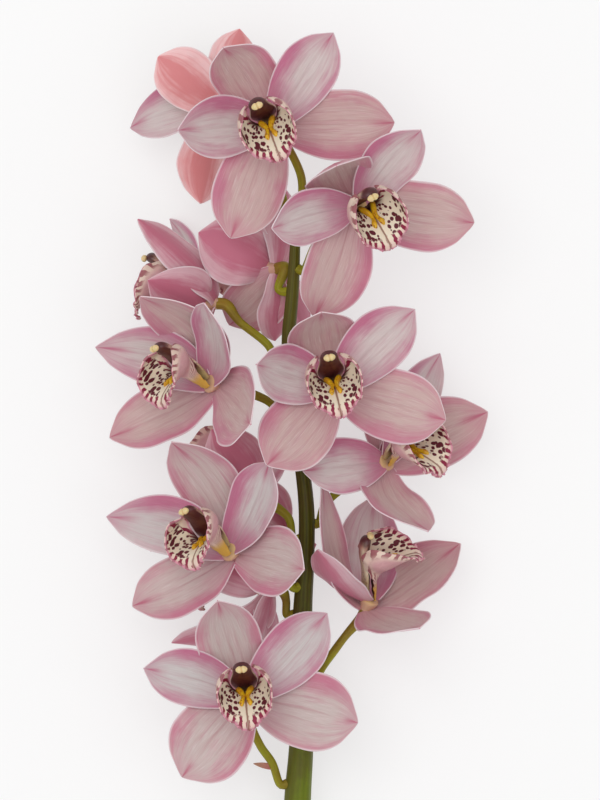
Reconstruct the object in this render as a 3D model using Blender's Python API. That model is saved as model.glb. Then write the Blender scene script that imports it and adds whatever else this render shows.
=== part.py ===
"""A cut flower stem of a pink cymbidium orchid, lying on a level surface.

+Y runs along the stem to its top, +X is to the right of it and +Z is up. The surface is z = 0.
The tables are in millimetres: X = 0 is the stem's middle, and Y = 0 is 150 mm above its cut end.
A flower's own frame is right, up and facing, where up is the side of its dorsal sepal.
"""

import math
from dataclasses import dataclass

import bmesh
import bpy
from mathutils import Matrix, Vector

MM = 0.001

# Driving dimensions of the stem, in millimetres
CUT_END_Y = -150.0
CUT_END_HEIGHT = 7.2
STEM_RISE = 0.105
STEM_SIDES = 12

# The middle of the object's own box, which becomes the origin
ORIGIN_X = -3.86
ORIGIN_Y = 118.04

# Driving dimensions of one flower, in millimetres
TEPAL_THICK = 1.3
TEPAL_EDGE_THICK = 0.8
CLAW_SHARE = 0.32
WIDEST_AT = 0.60
TEPAL_STEPS_ALONG = 5
TEPAL_STEPS_ACROSS = 4
RECEPTACLE_BACK_R = 3.2
RECEPTACLE_FRONT_R = 4.6
RECEPTACLE_BACK = 2.5
RECEPTACLE_FRONT = 3.4
OVARY_R = 2.9
OVARY_LONG = 6.0
PEDICEL_R = 2.1
CLEARANCE = 0.3
LIP_THICK = 1.1
LIP_STEPS_ACROSS = 8
LIP_SQUASH = 0.72
COLUMN_SIDES = 8
LEAN_EASED = 0.2
PETALS_FORWARD = 1.5
TEPALS_OUT = 2.0

# The lip's middle line in its flower's up and facing directions, and at each point half its width
# when flattened, the angle in degrees that its margins turn up (down where it is negative), and the
# angle by which its sides lean forward from upright
LIP_LINE = (
    (-2.2, 4.4, 2.5, 50.0, 0.0),
    (0.2, 10.5, 4.6, 66.0, 0.0),
    (2.4, 16.5, 7.5, 70.0, 0.0),
    (1.8, 22.5, 17.0, 105.0, 0.0),
    (-2.2, 28.5, 36.0, 148.0, 5.0),
    (-6.6, 33.0, 21.0, 84.0, 35.0),
    (-10.6, 35.6, 8.2, 15.0, 70.0),
    (-13.6, 35.6, 5.0, -15.0, 95.0),
    (-15.4, 33.8, 1.4, -20.0, 110.0),
)

# The column's middle line in its flower's up and facing directions, with half its width and height
COLUMN_LINE = (
    (2.6, 4.8, 2.8, 2.0),
    (6.6, 11.0, 4.4, 2.5),
    (10.6, 19.0, 6.0, 2.9),
    (13.8, 27.0, 5.8, 3.4),
    (15.0, 32.5, 4.8, 3.4),
    (14.6, 36.6, 3.0, 2.2),
)


@dataclass(frozen=True)
class Tepal:
    """One sepal or petal: its tip from the heart, and how its blade is turned and bent.

    One that rests bends down until it touches the surface, and helps to carry the stem.
    """

    tip: tuple
    width: float
    bow: float = 0.0
    face: tuple = ()
    cup: float = 28.0
    sway: float = 0.0
    rests: bool = False


@dataclass(frozen=True)
class Flower:
    """One flower: its heart, its own frame, its tepals from the dorsal sepal on, and its pedicel."""

    heart: tuple
    facing: tuple
    up: tuple
    dorsal: Tepal
    left_petal: Tepal
    right_petal: Tepal
    left_sepal: Tepal
    right_sepal: Tepal
    foot_y: float
    stalk: tuple

    def tepals(self):
        return (
            self.dorsal,
            self.left_sepal,
            self.right_sepal,
            self.left_petal,
            self.right_petal,
        )


# The scale left on the lowest pedicel: its foot and tip, its width and its thickness
BRACT_FOOT = (-16.4, 15.4, 28.0)
BRACT_TIP = (-23.5, 16.8, 29.0)
BRACT_WIDE = 3.6
BRACT_THICK = 0.8

# The stem's middle line: across, along and its radius
STEM_LINE = (
    (-1.5, CUT_END_Y, 7.2),
    (-2.0, -70.0, 7.0),
    (-1.5, 0.0, 6.8),
    (0.5, 22.0, 6.2),
    (1.5, 60.0, 5.4),
    (1.0, 94.0, 4.9),
    (3.0, 118.0, 4.2),
    (3.6, 145.0, 4.0),
    (1.0, 167.0, 3.7),
    (-3.0, 195.0, 3.6),
    (-6.5, 228.0, 3.5),
    (-4.0, 250.0, 3.3),
    (-2.5, 275.0, 2.7),
    (-2.0, 300.0, 2.0),
)

FLOWERS = (
    Flower(
        heart=(-14.0, 337.0, 76.0),
        facing=(-0.03, -0.15, 0.99),
        up=(-0.40, 0.90, 0.13),
        dorsal=Tepal((-24.0, 37.5, 22.0), 34.0, bow=-8.0),
        left_petal=Tepal((-46.5, -3.5, 26.0), 33.0),
        right_petal=Tepal((30.5, 45.0, 16.0), 31.0),
        left_sepal=Tepal((-20.5, -56.5, 4.0), 37.0, bow=3.0),
        right_sepal=Tepal((61.0, 1.0, 4.0), 37.0, bow=3.0),
        foot_y=296.0,
        stalk=((0.5, 312.0, 60.0), (-8.0, 330.0, 63.0)),
    ),
    Flower(
        heart=(-39.0, 347.0, 44.0),
        facing=(-0.30, 0.25, -0.92),
        up=(0.05, 0.99, 0.25),
        dorsal=Tepal((-32.0, 25.0, 10.0), 31.0),
        left_petal=Tepal((-46.5, -10.0, -16.0), 29.0, face=(0.0, 0.35, 0.94), sway=6.0),
        right_petal=Tepal((8.5, 39.5, -6.0), 28.0),
        left_sepal=Tepal((-11.0, -48.5, 4.0), 30.0, bow=4.0, face=(-0.5, 0.0, -0.85)),
        right_sepal=Tepal((36.0, 10.0, -42.0), 28.0, rests=True),
        foot_y=289.0,
        stalk=((-10.0, 306.0, 51.0), (-24.0, 334.0, 52.0)),
    ),
    Flower(
        heart=(28.0, 297.0, 73.0),
        facing=(0.35, -0.27, 0.90),
        up=(-0.35, 0.90, 0.38),
        dorsal=Tepal((-10.0, 18.5, 40.0), 37.0, bow=-6.0, face=(0.34, -0.83, 0.43)),
        left_petal=Tepal((-42.0, -12.0, 30.0), 30.0),
        right_petal=Tepal((32.0, 37.0, 16.0), 31.0),
        left_sepal=Tepal((-21.0, -55.5, -4.0), 38.0, bow=3.0),
        right_sepal=Tepal((59.0, -8.5, -6.0), 37.0, bow=3.0),
        foot_y=266.0,
        stalk=((8.0, 278.0, 57.0), (19.0, 292.0, 60.0)),
    ),
    Flower(
        heart=(-12.8, 266.0, 40.3),
        facing=(-0.63, 0.0, -0.776),
        up=(-0.10, 0.99, 0.08),
        dorsal=Tepal((4.0, 42.0, -16.0), 28.0),
        left_petal=Tepal((-38.0, 18.0, 2.0), 38.0, bow=-3.0, face=(-0.2, 0.1, -0.97)),
        right_petal=Tepal((16.0, -33.0, -36.0), 24.0, rests=True),
        left_sepal=Tepal((-23.0, -28.0, -24.0), 32.0, face=(0.25, 0.25, 0.93)),
        right_sepal=Tepal((0.0, -36.0, -12.0), 26.0),
        foot_y=254.0,
        stalk=((-10.8, 257.0, 47.0),),
    ),
    Flower(
        heart=(-45.0, 249.0, 36.0),
        facing=(-0.97, 0.20, 0.05),
        up=(0.20, 0.97, 0.05),
        dorsal=Tepal((-36.5, 41.5, 12.0), 32.0, face=(-0.55, -0.60, -0.55)),
        left_petal=Tepal((-21.0, 43.0, -32.0), 26.0, rests=True),
        right_petal=Tepal((-31.0, 11.0, 26.0), 30.0, face=(-0.4, 0.5, -0.75)),
        left_sepal=Tepal((-20.0, -34.0, -34.0), 30.0, rests=True),
        right_sepal=Tepal((-20.0, -38.0, 2.0), 30.0),
        foot_y=217.0,
        stalk=((-16.0, 227.5, 44.0), (-30.0, 239.0, 39.0)),
    ),
    Flower(
        heart=(-43.5, 208.0, 60.0),
        facing=(-0.74, 0.08, 0.67),
        up=(-0.10, 0.97, -0.22),
        dorsal=Tepal((-36.0, 43.5, 16.0), 38.0, bow=-4.0, sway=4.5),
        left_petal=Tepal((-59.0, 18.5, -8.0), 31.0, sway=5.0),
        right_petal=Tepal((-4.0, 40.0, 34.0), 32.0, face=(-0.66, 0.1, 0.75)),
        left_sepal=Tepal((-52.0, -27.0, -12.0), 34.0),
        right_sepal=Tepal((19.0, -20.0, 42.0), 42.0, face=(-0.72, 0.12, 0.68)),
        foot_y=192.0,
        stalk=((-17.0, 200.0, 51.0),),
    ),
    Flower(
        heart=(16.5, 205.5, 72.0),
        facing=(0.03, 0.02, 1.0),
        up=(-0.20, 0.97, 0.0),
        dorsal=Tepal((-6.0, 38.0, 21.0), 37.0, bow=-9.0),
        left_petal=Tepal((-38.0, 12.0, 32.0), 31.0, bow=-3.0),
        right_petal=Tepal((40.5, 39.5, 14.0), 32.0),
        left_sepal=Tepal((-33.0, -38.0, 14.0), 38.0, bow=2.0),
        right_sepal=Tepal((56.0, -15.5, 4.0), 38.0, bow=3.0),
        foot_y=184.0,
        stalk=((4.0, 193.0, 54.0), (12.0, 203.0, 57.0)),
    ),
    Flower(
        heart=(42.0, 168.5, 40.0),
        facing=(0.63, 0.20, 0.75),
        up=(-0.48, 0.85, 0.18),
        dorsal=Tepal((-12.0, 44.0, -38.0), 30.0, rests=True),
        left_petal=Tepal((-40.5, -4.0, 28.0), 30.0),
        right_petal=Tepal((28.5, 55.0, -8.0), 28.0),
        left_sepal=Tepal((22.0, -34.0, 26.0), 38.0, sway=5.5),
        right_sepal=Tepal((52.5, 25.5, -6.0), 37.0),
        foot_y=138.0,
        stalk=((13.0, 148.0, 33.0), (24.0, 157.5, 31.0)),
    ),
    Flower(
        heart=(34.0, 97.0, 36.0),
        facing=(0.40, 0.82, 0.40),
        up=(-0.84, 0.40, 0.36),
        dorsal=Tepal((-23.0, 61.5, 18.0), 28.0, face=(0.84, 0.20, 0.46)),
        left_petal=Tepal((4.0, 54.5, -34.0), 34.0, face=(0.2, 0.3, 0.93), rests=True),
        right_petal=Tepal((-25.0, 28.5, 34.0), 27.0, face=(0.30, 0.90, -0.25)),
        left_sepal=Tepal((47.0, 30.5, -10.0), 38.0, sway=-2.0),
        right_sepal=Tepal((25.5, -10.5, 42.0), 36.0, face=(-0.15, 0.88, 0.30)),
        foot_y=55.0,
        stalk=((10.0, 63.0, 31.0), (17.5, 74.0, 32.0), (23.5, 82.0, 33.0)),
    ),
    Flower(
        heart=(-34.0, 123.5, 58.0),
        facing=(-0.58, 0.19, 0.79),
        up=(-0.15, 0.95, -0.34),
        dorsal=Tepal((-30.0, 55.5, 6.0), 37.0, bow=-8.0),
        left_petal=Tepal((-63.0, 18.0, -8.0), 31.0, sway=4.5),
        right_petal=Tepal((19.0, 45.5, 20.0), 33.0),
        left_sepal=Tepal((-50.0, -27.0, -8.0), 35.0),
        right_sepal=Tepal((36.0, -7.5, 40.0), 37.0),
        foot_y=106.0,
        stalk=((-11.0, 115.0, 45.0),),
    ),
    Flower(
        heart=(-22.5, 155.0, 32.0),
        facing=(-0.65, 0.65, -0.39),
        up=(0.60, 0.75, 0.20),
        dorsal=Tepal((22.0, 26.0, -22.0), 28.0),
        left_petal=Tepal((-22.0, 30.0, 10.0), 34.0, face=(-0.3, 0.1, -0.95)),
        right_petal=Tepal((17.0, -21.0, -10.0), 24.0),
        left_sepal=Tepal((-6.0, -30.0, -26.0), 28.0),
        right_sepal=Tepal((-53.0, -31.0, -8.0), 30.0),
        foot_y=130.0,
        stalk=((-6.0, 141.0, 36.0),),
    ),
    Flower(
        heart=(-17.0, 105.0, 32.0),
        facing=(-0.91, 0.12, -0.38),
        up=(0.05, 0.99, 0.02),
        dorsal=Tepal((25.0, 22.0, -20.0), 26.0),
        left_petal=Tepal((-36.0, 16.0, 6.0), 28.0, face=(-0.3, 0.2, -0.93)),
        right_petal=Tepal((4.0, -36.0, -25.0), 28.0),
        left_sepal=Tepal((-48.0, -28.0, -30.0), 24.0, bow=-4.0, face=(-0.4, 0.4, -0.82), rests=True),
        right_sepal=Tepal((-12.0, -44.0, -6.0), 30.0),
        foot_y=92.0,
        stalk=((-7.0, 99.0, 31.5),),
    ),
    Flower(
        heart=(-26.5, 51.0, 54.0),
        facing=(-0.02, 0.01, 1.0),
        up=(-0.12, 0.99, 0.0),
        dorsal=Tepal((-14.5, 49.0, 24.0), 34.0, bow=-3.0),
        left_petal=Tepal((-51.5, 15.0, 12.0), 30.0, sway=2.0),
        right_petal=Tepal((40.0, 42.5, 10.0), 32.0),
        left_sepal=Tepal((-32.5, -39.5, 8.0), 42.0, bow=3.0),
        right_sepal=Tepal((55.5, -12.5, 4.0), 41.0, bow=3.0),
        foot_y=6.0,
        stalk=((-14.0, 17.0, 28.0), (-20.0, 26.0, 32.0), (-25.0, 38.0, 38.0)),
    ),
)


def material(name, colour, roughness):
    """A plain coloured surface."""
    made = bpy.data.materials.new(name)
    made.use_nodes = True
    shader = made.node_tree.nodes["Principled BSDF"]
    shader.inputs["Base Color"].default_value = (*colour, 1.0)
    shader.inputs["Roughness"].default_value = roughness
    shader.inputs["Metallic"].default_value = 0.0
    return made


def placed(obj, surface, parent):
    """Links an object into the scene with its material, under the stem's origin."""
    bpy.context.scene.collection.objects.link(obj)
    obj.data.materials.append(surface)
    obj.parent = parent
    return obj


def world(point):
    """A table's point in metres."""
    return Vector(point) * MM


def stem_height(y):
    """The stem's middle above the surface, which rises evenly from its cut end."""
    return CUT_END_HEIGHT + STEM_RISE * (y - CUT_END_Y)


def stem_at(y):
    """The stem's middle and radius at a place along it."""
    for (x0, y0, r0), (x1, y1, r1) in zip(STEM_LINE, STEM_LINE[1:], strict=False):
        if y <= y1:
            share = (y - y0) / (y1 - y0)
            return Vector((x0 + share * (x1 - x0), y, stem_height(y))), r0 + share * (r1 - r0)
    raise ValueError("a pedicel's foot is above the stem's top")


def tube(name, points, radii, sides, surface, parent):
    """A closed round tube through points, with its own radius at each."""
    curve = bpy.data.curves.new(name, "CURVE")
    curve.dimensions = "3D"
    curve.bevel_depth = MM
    curve.bevel_resolution = (sides - 4) // 2
    curve.use_fill_caps = True
    curve.resolution_u = 2
    spline = curve.splines.new("BEZIER")
    spline.bezier_points.add(len(points) - 1)
    for knot, point, radius in zip(spline.bezier_points, points, radii, strict=True):
        knot.co = world(point)
        knot.radius = radius
        knot.handle_left_type = "AUTO"
        knot.handle_right_type = "AUTO"
    return placed(bpy.data.objects.new(name, curve), surface, parent)


def shell(name, grid, normals, thick):
    """A closed sheet: a grid of points, thickened to both sides along its normals."""
    built = bmesh.new()
    rows, columns = len(grid), len(grid[0])
    upper = [
        [built.verts.new(world(grid[i][j] + normals[i][j] * thick(i, j) / 2)) for j in range(columns)]
        for i in range(rows)
    ]
    lower = [
        [built.verts.new(world(grid[i][j] - normals[i][j] * thick(i, j) / 2)) for j in range(columns)]
        for i in range(rows)
    ]
    for i in range(rows - 1):
        for j in range(columns - 1):
            built.faces.new((upper[i][j], upper[i][j + 1], upper[i + 1][j + 1], upper[i + 1][j]))
            built.faces.new((lower[i][j], lower[i + 1][j], lower[i + 1][j + 1], lower[i][j + 1]))
    rim = [(i, 0) for i in range(rows)]
    rim += [(rows - 1, j) for j in range(1, columns)]
    rim += [(i, columns - 1) for i in range(rows - 2, -1, -1)]
    rim += [(0, j) for j in range(columns - 2, 0, -1)]
    for (a, b), (c, d) in zip(rim, rim[1:] + rim[:1], strict=True):
        built.faces.new((upper[a][b], upper[c][d], lower[c][d], lower[a][b]))
    bmesh.ops.recalc_face_normals(built, faces=built.faces)
    mesh = bpy.data.meshes.new(name)
    built.to_mesh(mesh)
    built.free()
    mesh.shade_smooth()
    return mesh


def grid_normals(grid):
    """The sheet's normal at each of its points."""
    rows, columns = len(grid), len(grid[0])
    found = []
    for i in range(rows):
        along = [
            grid[min(i + 1, rows - 1)][j] - grid[max(i - 1, 0)][j] for j in range(columns)
        ]
        across = [
            grid[i][min(j + 1, columns - 1)] - grid[i][max(j - 1, 0)] for j in range(columns)
        ]
        found.append([a.cross(b).normalized() for a, b in zip(across, along, strict=True)])
    return found


def half_width_share(t):
    """How wide a tepal is at a share of its length, against its widest."""
    if t < WIDEST_AT:
        return 1 - (1 - CLAW_SHARE) * (1 - t / WIDEST_AT) ** 2
    return max(1 - ((t - WIDEST_AT) / (1 - WIDEST_AT)) ** 2.2, 0.06)


def section(half_width, turned, squash=1.0):
    """A point across a sheet whose margins turn by an angle: how far out, and how far up."""

    def at(s):
        if abs(turned) < 0.02:
            return half_width * s, 0.0
        radius = half_width / turned
        return radius * math.sin(s * turned), squash * radius * (1 - math.cos(s * turned))

    return at


def tepal_grid(flower, tepal):
    """The middle surface of one sepal or petal."""
    facing = Vector(flower.facing).normalized()
    chord = Vector(tepal.tip)
    along = chord.normalized()
    face = Vector(tepal.face) if tepal.face else facing
    inner = (face - along * face.dot(along)).normalized()
    side = along.cross(inner)
    bend = inner * tepal.bow + side * tepal.sway - facing * LEAN_EASED * chord.dot(facing)
    spread = (chord - facing * chord.dot(facing)).normalized()
    layer = PETALS_FORWARD if tepal in (flower.left_petal, flower.right_petal) else -PETALS_FORWARD
    base = Vector(flower.heart) + spread * TEPALS_OUT + facing * layer
    chord = Vector(flower.heart) + chord - base
    grid = []
    for i in range(TEPAL_STEPS_ALONG + 1):
        t = i / TEPAL_STEPS_ALONG
        middle = base + chord * t + bend * 4 * t * (1 - t)
        at = section(tepal.width / 2 * half_width_share(t), math.radians(tepal.cup) * (1.2 - 0.4 * t))
        row = []
        for j in range(TEPAL_STEPS_ACROSS + 1):
            out, rise = at(2 * j / TEPAL_STEPS_ACROSS - 1)
            row.append(middle + side * out + inner * rise)
        grid.append(row)
    return lowered_to_rest(grid) if tepal.rests else grid


def lowered_to_rest(grid):
    """Bends a tepal down, most at its tip, until its lowest point is on the surface."""
    rows = len(grid)
    for _ in range(6):
        normals = grid_normals(grid)
        low = min(
            grid[i][j].z - abs(normals[i][j].z) * tepal_thickness(i, j) / 2
            for i in range(rows)
            for j in range(len(grid[0]))
        )
        for i, row in enumerate(grid):
            for point in row:
                point.z -= low * (i / (rows - 1)) ** 2
    return grid


def tepal_thickness(_, j):
    """A tepal is thickest at its midrib and thin at its margins."""
    away = abs(2 * j / TEPAL_STEPS_ACROSS - 1)
    return TEPAL_THICK + (TEPAL_EDGE_THICK - TEPAL_THICK) * away


def flower_axes(flower):
    """The flower's right, up and facing directions."""
    facing = Vector(flower.facing).normalized()
    up = Vector(flower.up)
    up = (up - facing * up.dot(facing)).normalized()
    return up.cross(facing), up, facing


def receptacle(name, flower):
    """The end of the ovary, a short cone on which all five tepals stand."""
    built = bmesh.new()
    bmesh.ops.create_cone(
        built,
        cap_ends=True,
        segments=8,
        radius1=RECEPTACLE_BACK_R * MM,
        radius2=RECEPTACLE_FRONT_R * MM,
        depth=(RECEPTACLE_BACK + RECEPTACLE_FRONT) * MM,
    )
    facing = Vector(flower.facing).normalized()
    middle = Vector(flower.heart) + facing * (RECEPTACLE_FRONT - RECEPTACLE_BACK) / 2
    turn = facing.to_track_quat("Z", "Y").to_matrix().to_4x4()
    bmesh.ops.transform(built, matrix=Matrix.Translation(world(middle)) @ turn, verts=built.verts)
    mesh = bpy.data.meshes.new(name)
    built.to_mesh(mesh)
    built.free()
    return mesh


def build_tepals(number, flower, surface, parent):
    """The five tepals of a flower, grown together at its heart."""
    name = f"flower_{number:02d}_tepals"
    whole = placed(bpy.data.objects.new(name, receptacle(name, flower)), surface, parent)
    blades = bpy.data.collections.new(f"blades_{number:02d}")
    bpy.context.scene.collection.children.link(blades)
    for place, tepal in enumerate(flower.tepals()):
        grid = tepal_grid(flower, tepal)
        mesh = shell(f"blade_{number:02d}_{place}", grid, grid_normals(grid), tepal_thickness)
        blade = bpy.data.objects.new(mesh.name, mesh)
        blade.parent = parent
        blade.hide_render = True
        blade.display_type = "WIRE"
        blades.objects.link(blade)
    joined = whole.modifiers.new("grown together", "BOOLEAN")
    joined.operation = "UNION"
    joined.operand_type = "COLLECTION"
    joined.collection = blades
    joined.solver = "EXACT"
    return whole


def build_lip(number, flower, surface, parent):
    """The lip: a trough with upright side lobes, and a middle lobe that turns down."""
    right, up, facing = flower_axes(flower)
    heart = Vector(flower.heart)
    grid = []
    for rise, out, half_width, turned, lean in LIP_LINE:
        lean = math.radians(lean)
        inner = up * math.cos(lean) + facing * math.sin(lean)
        at = section(half_width, math.radians(turned), LIP_SQUASH)
        row = []
        for j in range(LIP_STEPS_ACROSS + 1):
            sideways, lift = at(2 * j / LIP_STEPS_ACROSS - 1)
            row.append(heart + up * rise + facing * out + right * sideways + inner * lift)
        grid.append(row)
    name = f"flower_{number:02d}_lip"
    mesh = shell(name, grid, grid_normals(grid), lambda i, j: LIP_THICK)
    return placed(bpy.data.objects.new(name, mesh), surface, parent)


def build_column(number, flower, surface, parent):
    """The column: an arched half-round arm over the lip, widest near the anther at its end."""
    right, up, facing = flower_axes(flower)
    heart = Vector(flower.heart)
    sides = COLUMN_SIDES
    built = bmesh.new()
    rings = []
    for k, (rise, out, half_wide, half_high) in enumerate(COLUMN_LINE):
        before = COLUMN_LINE[max(k - 1, 0)]
        after = COLUMN_LINE[min(k + 1, len(COLUMN_LINE) - 1)]
        along = (up * (after[0] - before[0]) + facing * (after[1] - before[1])).normalized()
        over = along.cross(right)
        middle = heart + up * rise + facing * out
        ring = []
        for side in range(sides):
            angle = 2 * math.pi * side / sides
            spread = right * half_wide * math.cos(angle) + over * half_high * math.sin(angle)
            ring.append(built.verts.new(world(middle + spread)))
        rings.append(ring)
    for near, far in zip(rings, rings[1:], strict=False):
        for side in range(sides):
            after = (side + 1) % sides
            built.faces.new((near[side], near[after], far[after], far[side]))
    built.faces.new(rings[0])
    built.faces.new(rings[-1])
    bmesh.ops.recalc_face_normals(built, faces=built.faces)
    name = f"flower_{number:02d}_column"
    mesh = bpy.data.meshes.new(name)
    built.to_mesh(mesh)
    built.free()
    mesh.shade_smooth()
    return placed(bpy.data.objects.new(name, mesh), surface, parent)


def pedicel_route(flower):
    """The pedicel's points, from the stem's skin to the back of the receptacle."""
    axis, radius = stem_at(flower.foot_y)
    above, _ = stem_at(flower.foot_y + 1)
    grain = (above - axis).normalized()
    leaves = Vector(flower.stalk[0]) - axis
    leaves = (leaves - grain * leaves.dot(grain)).normalized()
    foot = axis + leaves * (radius + 1.5 * CLEARANCE)
    facing = Vector(flower.facing).normalized()
    end = Vector(flower.heart) - facing * (RECEPTACLE_BACK + CLEARANCE)
    ovary = end - facing * OVARY_LONG
    return [foot, foot + leaves * 2.5, *(Vector(p) for p in flower.stalk), ovary, end]


def build_pedicel(number, flower, surface, parent):
    """The pedicel, which thickens into the ovary behind the flower."""
    route = pedicel_route(flower)
    radii = [PEDICEL_R] * (len(route) - 2) + [OVARY_R, RECEPTACLE_BACK_R - 0.2]
    return tube(f"flower_{number:02d}_pedicel", route, radii, 6, surface, parent)


def build_bract(surface, parent):
    """The small pointed scale on the lowest pedicel."""
    foot, tip = Vector(BRACT_FOOT), Vector(BRACT_TIP)
    along = (tip - foot).normalized()
    side = along.cross(Vector((0.0, 0.0, 1.0))).normalized()
    hollow = side.cross(along)
    grid = []
    for t, share in ((0.0, 0.8), (0.35, 1.0), (0.7, 0.6), (1.0, 0.12)):
        middle = foot.lerp(tip, t)
        half = BRACT_WIDE / 2 * share
        grid.append([middle - side * half, middle - hollow * 0.5 * share, middle + side * half])
    mesh = shell("flower_13_bract", grid, grid_normals(grid), lambda i, j: BRACT_THICK)
    return placed(bpy.data.objects.new("flower_13_bract", mesh), surface, parent)


def build_stem(surface, parent):
    """The flower stalk, cut square at its lower end."""
    points = [Vector((x, y, stem_height(y))) for x, y, _ in STEM_LINE]
    return tube("stem", points, [r for _, _, r in STEM_LINE], STEM_SIDES, surface, parent)


def main():
    for old in list(bpy.data.objects):
        bpy.data.objects.remove(old)
    stem_green = material("stem_green", (0.10, 0.13, 0.03), 0.45)
    pedicel_olive = material("pedicel_olive", (0.24, 0.20, 0.05), 0.45)
    bract_tan = material("bract_tan", (0.45, 0.30, 0.20), 0.6)
    petal_pink = material("petal_pink", (0.62, 0.38, 0.44), 0.5)
    lip_spotted = material("lip_spotted", (0.60, 0.38, 0.36), 0.5)
    column_maroon = material("column_maroon", (0.18, 0.05, 0.05), 0.4)
    origin = bpy.data.objects.new("origin", None)
    bpy.context.scene.collection.objects.link(origin)
    origin.location = world((-ORIGIN_X, -ORIGIN_Y, 0.0))
    build_stem(stem_green, origin)
    for number, flower in enumerate(FLOWERS, start=1):
        build_tepals(number, flower, petal_pink, origin)
        build_lip(number, flower, lip_spotted, origin)
        build_column(number, flower, column_maroon, origin)
        build_pedicel(number, flower, pedicel_olive, origin)
    build_bract(bract_tan, origin)


main()
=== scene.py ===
"""A cut cymbidium orchid stem with thirteen flowers, lying on a pale floor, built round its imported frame.

Sizes are in millimetres in the tables, with +Y along the stem to its top and +Z up. A flower's own
directions are right, up and facing, where up is the side of its dorsal sepal.
"""

import logging
import math
from collections.abc import Mapping, Sequence
from dataclasses import dataclass
from enum import Enum

import bpy
import numpy as np
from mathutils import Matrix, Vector


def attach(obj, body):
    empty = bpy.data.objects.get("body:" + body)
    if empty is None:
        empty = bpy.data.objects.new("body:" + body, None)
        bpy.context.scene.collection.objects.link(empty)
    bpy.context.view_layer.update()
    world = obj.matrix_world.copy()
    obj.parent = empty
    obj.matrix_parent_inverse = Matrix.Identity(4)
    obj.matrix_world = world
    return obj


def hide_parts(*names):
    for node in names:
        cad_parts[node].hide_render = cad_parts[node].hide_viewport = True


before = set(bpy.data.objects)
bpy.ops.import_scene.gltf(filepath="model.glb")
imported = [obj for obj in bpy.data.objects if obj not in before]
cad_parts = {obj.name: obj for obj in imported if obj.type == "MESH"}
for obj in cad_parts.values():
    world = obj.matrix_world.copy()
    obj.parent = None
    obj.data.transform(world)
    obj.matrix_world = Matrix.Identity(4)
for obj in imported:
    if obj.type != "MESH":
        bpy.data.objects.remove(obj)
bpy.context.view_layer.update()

log = logging.getLogger("orchid_stem")
Points = np.ndarray
Triple = tuple[float, float, float]
Colour = tuple[float, float, float, float]

MM = 0.001
ORIGIN = np.array((-3.86, 118.04, 0.0))
FLOOR_CLEAR = 0.05
BOTH_SIDES = (-1.0, 1.0)
FULL_TURN = 2 * math.pi
NEARLY_FLAT = 0.02
EVENED_OVER = 9
CREASE_ANGLE = math.radians(52)


class Slot(Enum):
    """The material slots."""

    STEM = "stem_green"
    PEDICEL = "pedicel_olive"
    PETAL = "petal_pink"
    LIP = "lip_spotted"
    COLUMN = "column_maroon"
    BRACT = "bract_tan"


class Place(Enum):
    """The five places of a tepal round its flower, by the name of its piece."""

    DORSAL = "dorsal_sepal"
    LEFT_SEPAL = "left_sepal"
    RIGHT_SEPAL = "right_sepal"
    LEFT_PETAL = "left_petal"
    RIGHT_PETAL = "right_petal"

    @property
    def petal(self) -> bool:
        """Whether it is one of the two petals, which stand in front of the sepals."""
        return self in (Place.LEFT_PETAL, Place.RIGHT_PETAL)


@dataclass(frozen=True)
class Tepal:
    """One sepal or petal: its tip from the heart, and how its blade is turned and bent."""

    tip: Triple
    width: float
    bow: float = 0.0
    face: tuple[float, ...] = ()
    cup: float = 28.0
    sway: float = 0.0
    rests: bool = False
    # Uses the salmon finish, which is painted light: light shining through a tepal that lies in shade.
    backlit_coral: bool = False


@dataclass(frozen=True)
class Flower:
    """One flower: its heart, its own directions, its tepals from the dorsal sepal on, and its pedicel."""

    heart: Triple
    facing: Triple
    up: Triple
    dorsal: Tepal
    left_petal: Tepal
    right_petal: Tepal
    left_sepal: Tepal
    right_sepal: Tepal
    foot_y: float
    stalk: tuple[Triple, ...]
    rosy: float = 0.6

    def tepals(self) -> dict[Place, Tepal]:
        """The five tepals by their places."""
        return {
            Place.DORSAL: self.dorsal,
            Place.LEFT_SEPAL: self.left_sepal,
            Place.RIGHT_SEPAL: self.right_sepal,
            Place.LEFT_PETAL: self.left_petal,
            Place.RIGHT_PETAL: self.right_petal,
        }

    def axes(self) -> tuple[Points, Points, Points]:
        """The flower's right, up and facing directions."""
        facing = unit(np.array(self.facing))
        up = np.array(self.up)
        up = unit(up - facing * up.dot(facing))
        return np.cross(up, facing), up, facing

    def at(self, rise: Points | float, out: Points | float, aside: Points | float = 0.0) -> Points:
        """Points by how far they are up, out and right of the heart."""
        right, up, facing = self.axes()
        return np.array(self.heart) + rise * up + out * facing + aside * right


# The stem's middle line: across, along and its radius
STEM_LINE = (
    (-1.5, -150.0, 7.2),
    (-2.0, -70.0, 7.0),
    (-1.5, 0.0, 6.8),
    (0.5, 22.0, 6.2),
    (1.5, 60.0, 5.4),
    (1.0, 94.0, 4.9),
    (3.0, 118.0, 4.2),
    (3.6, 145.0, 4.0),
    (1.0, 167.0, 3.7),
    (-3.0, 195.0, 3.6),
    (-6.5, 228.0, 3.5),
    (-4.0, 250.0, 3.3),
    (-2.5, 275.0, 2.7),
    (-2.0, 300.0, 2.0),
)

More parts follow.
